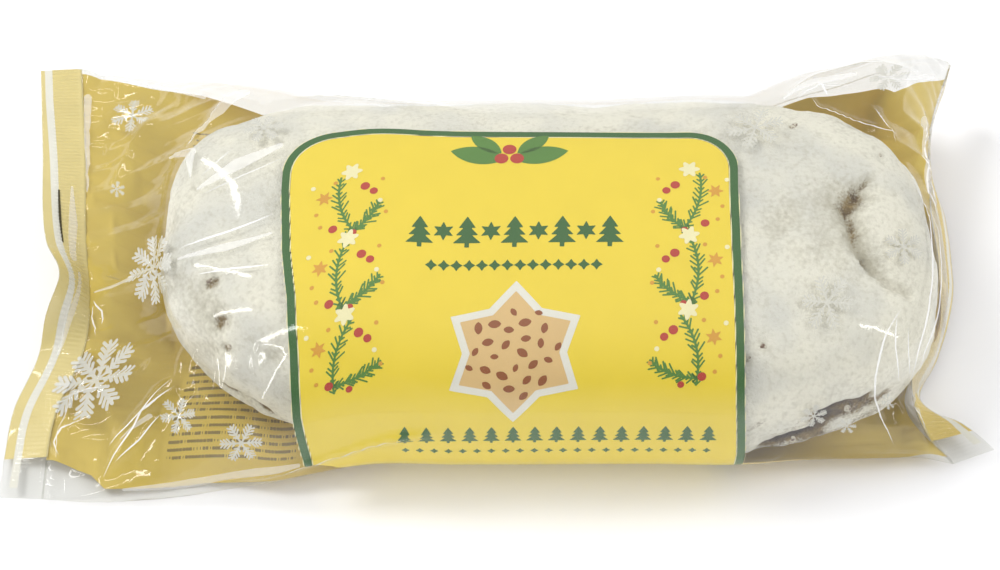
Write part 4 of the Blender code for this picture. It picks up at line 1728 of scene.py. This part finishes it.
@dataclass
class Wrapping:
    """All that is printed on the film: gold back, label panel with its ornaments, snowflakes."""

    film: Film
    origin: Array
    panel: LabelPanel = field(default_factory=LabelPanel)
    gold: Ink = Ink("gold_ink", "#DBC15C", uneven=0.05, patch=25 * MM, metallic=0.15, roughness=0.42)
    pale_gold: Ink = Ink("pressed_gold_ink", "#E9D895", uneven=0.04, patch=9 * MM, metallic=0.1, roughness=0.40)
    yellow: Ink = Ink("yellow_ink", "#F3DA42", uneven=0.025)
    dark_green: Ink = Ink("dark_green_ink", "#3D6B34")
    fir_green: Ink = Ink("fir_green_ink", "#5C8A3C")
    red: Ink = Ink("red_ink", "#BF4636")
    amber: Ink = Ink("amber_ink", "#DFA53C")
    cream: Ink = Ink("cream_ink", "#F6EFC0")
    white: Ink = Ink("white_ink", "#ECEAE0")
    crumb: Ink = Ink("biscuit_cream_ink", "#E3C288")
    brown: Ink = Ink("brown_ink", "#9A5B33")
    small_print: Ink = Ink("grey_gold_ink", "#958450", cover=0.75)
    flake_white: Ink = Ink("snow_white_ink", "#DFDED6", cover=0.87)
    seal_gold: Ink = Ink("deep_pressed_gold_ink", "#E4CC76", uneven=0.04, patch=9 * MM, metallic=0.1, roughness=0.40)
    # Painted light: a white sheet for painted glints along the folds, and a fainter one for painted reflection haze.
    glint_paint: Ink = Ink("painted_glint_film", "#FFFFFF", uneven=0.02, roughness=0.30, cover=0.72)
    reflection_paint: Ink = Ink("painted_reflection_film", "#FFFFFF", uneven=0.02, roughness=0.30, cover=0.34)
    # Painted shadow for the left seal's fold.
    fold_shadow_paint: Ink = Ink("painted_fold_shadow_ink", "#4B4530")
    end_flake: Motif = Snowflake(-0.1570, 0.0419, 15.4 * MM, 92.0, 8, line=0.084, pairs=5)  # it runs onto the left seal

    def build(self) -> None:
        """Print the gold back, the panel and its ornaments, and the snowflakes."""
        self._back_gold()
        self._panel_fields()
        self._ornaments()
        self._snowflakes()
        self._painted_glints_and_reflections()
        for left in (True, False):
            SealBand(self.film, left).build(self)
        FinSeam(self.film).build(self)

    def print_field(
        self,
        name: str,
        ink: Ink,
        region: Region,
        window: tuple,
        finer: int,
        depth: float,
        surface: Optional[Surface] = None,
    ) -> None:
        """Print one large field on the film, or on another surface."""
        points, faces = (surface or self.film.surface).print_on(region, *window, finer, depth)
        make_object(name, points + self.origin, [faces], ink.material())

    def _back_gold(self) -> None:
        """Gold over the whole back web but for clear margins along both folds."""
        lengths = self.film.back_length
        start, end = self.film.form.near_fold[0][0], self.film.form.near_fold[-1][0]
        places = np.linspace(start, end, len(lengths))

        def region(x: Array, s: Array) -> Array:
            """Inside both margins; the margins widen and narrow along the pack."""
            length = np.interp(x, places, lengths)
            near = np.interp(
                x,
                (-0.165, -0.152, -0.147, -0.130, -0.115, -0.083, -0.050, 0.134),
                (0.0140, 0.0095, 0.0045, 0.0045, 0.0052, 0.0040, 0.0030, 0.0030),
            )
            far = np.interp(
                x,
                (-0.165, -0.140, -0.060, 0.065, 0.085, 0.097, 0.107, 0.117, 0.120, 0.134),
                (0.002, 0.003, 0.006, 0.003, 0.0020, 0.0050, 0.0085, 0.0105, 0.0085, 0.0060),
            )
            return np.maximum(s + near, -s - (length - far))

        rows, steps = self.film.rows, self.film.steps
        self.print_field("gold_back", self.gold, region, ((0, rows), (-steps - 1, -1)), 1, 0.14 * MM)

    def _panel_fields(self) -> None:
        """Yellow field, dark green border and the pale lines on both sides of it."""
        window = self.panel.columns(self.film)

        def ring(outer: float, inner: float) -> Region:
            """Band between two insets of the panel's outline."""
            return lambda x, s: np.maximum(self.panel.distance(x, s, outer), -self.panel.distance(x, s, inner))

        self.print_field(
            "label_panel", self.yellow, lambda x, s: self.panel.distance(x, s, 3.3 * MM), window, 1, 0.12 * MM
        )
        self.print_field("green_border", self.dark_green, ring(0.35 * MM, 2.9 * MM), window, 2, 0.12 * MM)
        self.print_field("pale_outer_line", self.cream, ring(0.0, 0.35 * MM), window, 2, 0.12 * MM)
        self.print_field("pale_inner_line", self.cream, ring(2.9 * MM, 3.3 * MM), window, 2, 0.12 * MM)

    def _sheet(self, name: str, slot: str, ink: Ink, motifs: Sequence[Motif], finer: int, depth: float) -> None:
        """Print motifs in one ink."""
        PrintedSheet(name, slot, ink, depth, finer, motifs).build(self.film, self.origin)

    def _ornaments(self) -> None:
        """A frieze of trees, a star biscuit, and sprigs with berries, stars and blossoms at the sides."""
        frieze = [
            (FirTree(x, 0.0850, 5.6 * MM) if index % 2 == 0 else Star(x, 0.0850, 3.6 * MM, 90.0))
            for index, x in enumerate(np.linspace(-0.0435, 0.0165, 9))
        ]
        row = [Star(x, 0.0725, 2.0 * MM, 0.0, 4, 0.55) for x in np.linspace(-0.0395, 0.0125, 14)]
        foot = [FirTree(x, 0.0145, 3.6 * MM) for x in np.linspace(-0.0470, 0.0500, 15)]
        foot += [Star(x, 0.0060, 1.5 * MM, 0.0, 4, 0.55) for x in np.linspace(-0.0470, 0.0500, 22)]
        self._sheet("tree_frieze", "green_print", self.dark_green, frieze + row + foot, 4, 0.07 * MM)

        twigs, berries, stars, blossoms = [], [], [], []
        for middle, side in ((-0.0665, 1.0), (0.0420, -1.0)):
            for rank, s in enumerate((0.0960, 0.0700, 0.0440)):
                lean = 90 + side * (14 - 14 * rank)
                twigs.append(FirTwig(middle, s, 11.5 * MM, lean, bend=0.22 * side))
                twigs.append(FirTwig(middle + side * 0.0045, s - 0.006, 8.0 * MM, lean - side * 55, bend=-0.2 * side))
                berries += [Motif(middle + side * dx, s + ds, r) for dx, ds, r in (
                    (0.0050, 0.0065, 1.5 * MM), (0.0078, 0.0043, 1.3 * MM), (-0.0045, -0.0085, 1.4 * MM), (0.0020, -0.0110, 1.1 * MM)
                )]
                stars += [Star(middle - side * 0.0078, s + 0.0040, 2.9 * MM, 20.0 * rank, 6, 0.45)]
                stars += [Motif(middle - side * dx, s + ds, 0.7 * MM) for dx, ds in (
                    (0.0045, 0.0095), (0.0100, -0.0020), (0.0085, -0.0070), (-0.0105, 0.0090), (-0.0120, -0.0040)
                )]
                blossoms += [Flower(middle + side * 0.0005, s + 0.0130, 3.4 * MM, 12.0 * rank)]
                blossoms += [Motif(middle + side * 0.0100, s + 0.0005, 0.8 * MM), Motif(middle - side * 0.0115, s + 0.0085, 0.8 * MM)]
        holly = (-0.0160, 0.1145)
        leaves = [
            Leaf(holly[0] - 0.0100, holly[1] + 0.0010, 9.0 * MM, 168.0),
            Leaf(holly[0] + 0.0100, holly[1] + 0.0010, 9.0 * MM, 12.0),
            Leaf(holly[0] - 0.0075, holly[1] + 0.0060, 6.5 * MM, 140.0),
            Leaf(holly[0] + 0.0075, holly[1] + 0.0060, 6.5 * MM, 40.0),
        ]
        berries += [Motif(holly[0] + dx, holly[1] + ds, 2.2 * MM) for dx, ds in ((-0.0025, -0.0005), (0.0025, -0.0005), (0.0, 0.0036))]
        self._sheet("fir_twigs", "green_print", self.fir_green, twigs + leaves, 4, 0.08 * MM)
        self._sheet("red_berries", "red_print", self.red, berries, 4, 0.05 * MM)
        self._sheet("amber_stars", "panel_print", self.amber, stars, 4, 0.06 * MM)
        self._sheet("white_blossoms", "white_print", self.cream, blossoms, 4, 0.04 * MM)
        self._biscuit()

    def _biscuit(self) -> None:
        """A star biscuit with a white sugar rim, a pale middle and brown fruit."""
        place = (-0.0125, 0.0435)
        rim = Star(*place, 23.5 * MM, 90.0, 6, 0.70)
        middle = Star(*place, 20.0 * MM, 90.0, 6, 0.70)
        random = np.random.default_rng(5)
        fruit = []
        for index in range(26):
            radius = 15.0 * MM * math.sqrt((index + 0.7) / 26)
            angle = 2.399963 * index
            fruit.append(
                Leaf(
                    place[0] + radius * math.cos(angle),
                    place[1] + radius * math.sin(angle),
                    float(random.uniform(1.3, 2.2)) * MM,
                    float(random.uniform(0, 180)),
                    0.62,
                )
            )
        self._sheet("biscuit_rim", "white_print", self.white, [rim], 3, 0.08 * MM)
        self._sheet("biscuit_middle", "brown_print", self.crumb, [middle], 3, 0.05 * MM)
        self._sheet("biscuit_fruit", "brown_print", self.brown, fruit, 4, 0.03 * MM)

    def _snowflakes(self) -> None:
        """White snow crystals over the clear part of the front."""
        flakes = [
            Snowflake(-0.1391, 0.0776, 12.8 * MM, 4.0, 8, line=0.082, pairs=5),
            self.end_flake,
            Snowflake(-0.1485, 0.1493, 8.5 * MM, 20.0, pairs=4, line=0.08),
            Snowflake(-0.1536, 0.1133, 3.2 * MM, 10.0, pairs=3, line=0.10),
            Snowflake(-0.1213, 0.0289, 6.2 * MM, 15.0, pairs=4),
            Snowflake(-0.1000, 0.0203, 7.6 * MM, 0.0, pairs=4),
            Snowflake(-0.0966, 0.1329, 7.5 * MM, 10.0, pairs=4),
            Snowflake(0.0889, 0.0592, 10.0 * MM, -3.0, pairs=4, line=0.072),
            Snowflake(0.0634, 0.1277, 10.5 * MM, 12.0, pairs=4, line=0.072),
            Snowflake(0.0847, 0.0211, 5.2 * MM, 20.0, pairs=4),
            Snowflake(0.0966, 0.0158, 3.6 * MM, 0.0, pairs=3, line=0.10),
            Snowflake(0.1153, 0.0247, 3.4 * MM, 10.0, pairs=3, line=0.10),
            Snowflake(0.1136, 0.1500, 8.0 * MM, 10.0, pairs=4),
            Snowflake(0.1136, 0.0795, 7.0 * MM, 30.0, pairs=4),
        ]
        self._sheet("snowflakes", "white_print", self.flake_white, flakes, 5, 0.06 * MM)
        rows = [
            Dashes(-0.1065, -0.0330, 21.5 * MM, half_height=19 * MM, pitch=2.9 * MM, line=1.2 * MM, seed=3),
            Dashes(-0.1200, -0.1445, 9.0 * MM, half_height=4.5 * MM, pitch=2.5 * MM, seed=4),
        ]
        self._sheet("small_rows", "brown_print", self.small_print, rows, 3, 0.22 * MM)

    def _painted_glints_and_reflections(self) -> None:
        """Painted glints as white lines along the folds, and painted reflection haze as soft white streaks on the film.
        """
        lines = [Streak.along(crease.path, (0.0, crease.line, crease.line, 0.0)) for crease in CREASES if crease.line]
        self._sheet("fold_painted_glints", "clear_film", self.glint_paint, lines, 6, -0.03 * MM)
        self._sheet("film_painted_reflections", "clear_film", self.reflection_paint, list(PAINTED_REFLECTIONS), 3, -0.02 * MM)


# ---------------------------------------------------------------------------------------------
# The studio
# ---------------------------------------------------------------------------------------------


@dataclass(frozen=True)
class Studio:
    """Pale floor, soft lights and the camera that looks down on the printed side."""

    elevation: float = 58.0  # degrees
    distance: float = 0.75
    lens: float = 79.5  # mm, on a sensor 36 mm wide
    aim: tuple = (-0.0165, 0.0, 0.020)  # from the middle of the loaf
    glints: tuple = ((200, 34), (165, 42), (135, 30), (222, 40), (-20, 34))  # degrees

    def build(self, origin: Array) -> None:
        """Add the floor, the world, the lights and the camera."""
        self._floor()
        self._world()
        aim = origin + np.array(self.aim)
        self._light("key_softbox", aim + [-0.80, 0.40, 1.05], aim, (0.55, 0.55), 9.0, mirrored=False)
        self._light("fill_softbox", aim + [1.10, 0.15, 0.95], aim, (0.8, 0.8), 7.4, mirrored=False)
        self._light("front_softbox", aim + [-0.30, -1.25, 0.70], aim, (0.8, 0.8), 4.4, mirrored=False)
        for index, (azimuth, elevation) in enumerate(self.glints):
            turn, rise = math.radians(azimuth), math.radians(elevation)
            way = [math.cos(turn) * math.cos(rise), math.sin(turn) * math.cos(rise), math.sin(rise)]
            self._light(f"strip_{index}", aim + 0.95 * np.array(way), aim, (0.022, 0.45), 0.28)
        self._camera(aim)

    def _floor(self) -> None:
        """A white floor, larger than the view."""
        bpy.ops.mesh.primitive_plane_add(size=6.0)
        floor = bpy.context.object
        floor.name = "floor"
        material, tree, output = new_material("matt_white_floor")
        shader = add_node(tree, "BsdfPrincipled", {"Base Color": linear("#FDFDFF"), "Roughness": 0.9})
        tree.links.new(shader.outputs[0], output.inputs["Surface"])
        floor.data.materials.append(material)

    def _world(self) -> None:
        """A neutral surround. In front it is bright at the horizon, and unlit further up."""
        world = bpy.data.worlds.new("studio")
        world.use_nodes = True
        tree = world.node_tree
        way = add_node(tree, "SeparateXYZ", {0: add_node(tree, "TexCoord").outputs["Generated"]})
        in_front = add_node(tree, "MapRange", {"Value": way.outputs["Y"], "From Min": -0.20, "From Max": -0.85})
        change = add_node(
            tree,
            "MapRange",
            {"Value": way.outputs["Z"], "From Min": 0.0, "From Max": 0.55, "To Min": 0.35, "To Max": -0.46},
        )
        light = add_node(
            tree, "Math", {0: in_front.outputs[0], 1: change.outputs[0], 2: 0.58}, operation="MULTIPLY_ADD"
        )
        background = tree.nodes["Background"]
        background.inputs["Color"].default_value = linear("#FFFFFF")
        tree.links.new(light.outputs[0], background.inputs["Strength"])
        bpy.context.scene.world = world
        bpy.context.scene.view_settings.view_transform = "Standard"

    def _light(
        self, name: str, place: Array, aim: Array, size: tuple[float, float], power: float, mirrored: bool = True
    ) -> None:
        """A rectangular light at a place, turned to the aim.

        Args:
            name: the light's name.
            place: where it stands.
            aim: what it shines at.
            size: its two sides in metres.
            power: in watts.
            mirrored: False for a polarised light, which leaves no reflection on the film.
        """
        data = bpy.data.lights.new(name, "AREA")
        data.shape = "RECTANGLE"
        data.size, data.size_y = size
        data.energy = power
        light = bpy.data.objects.new(name, data)
        light.location = place
        light.visible_glossy = mirrored
        light.rotation_euler = Vector(aim - np.array(place)).to_track_quat("-Z", "Y").to_euler()
        bpy.context.scene.collection.objects.link(light)

    def _camera(self, aim: Array) -> None:
        """The camera, at its distance and elevation from the aim."""
        rise = math.radians(self.elevation)
        back = np.array([0.0, -math.cos(rise), math.sin(rise)])
        data = bpy.data.cameras.new("camera")
        data.lens = self.lens
        data.sensor_width = 36.0
        camera = bpy.data.objects.new("camera", data)
        camera.location = aim + back * self.distance
        camera.rotation_euler = Vector(-back).to_track_quat("-Z", "Y").to_euler()
        bpy.context.scene.collection.objects.link(camera)
        bpy.context.scene.camera = camera


def loaf_middle() -> Array:
    """The middle of the loaf on the ground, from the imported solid's box."""
    low, high = (np.array(corner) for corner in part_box(PACK_NODE))
    return np.array([low[0] + 0.18410, low[1] + 0.07282, low[2]])


def main() -> None:
    """Build the studio, the loaf, the film and its print, in that order."""
    logging.basicConfig(level=logging.INFO, format="%(message)s")
    origin = loaf_middle()
    Studio().build(origin)
    loaf = Loaf()
    loaf.build(origin)
    film = Film(PackForm(), loaf)
    film.build(origin)
    Wrapping(film, origin).build()


if __name__ == "__main__":
    main()
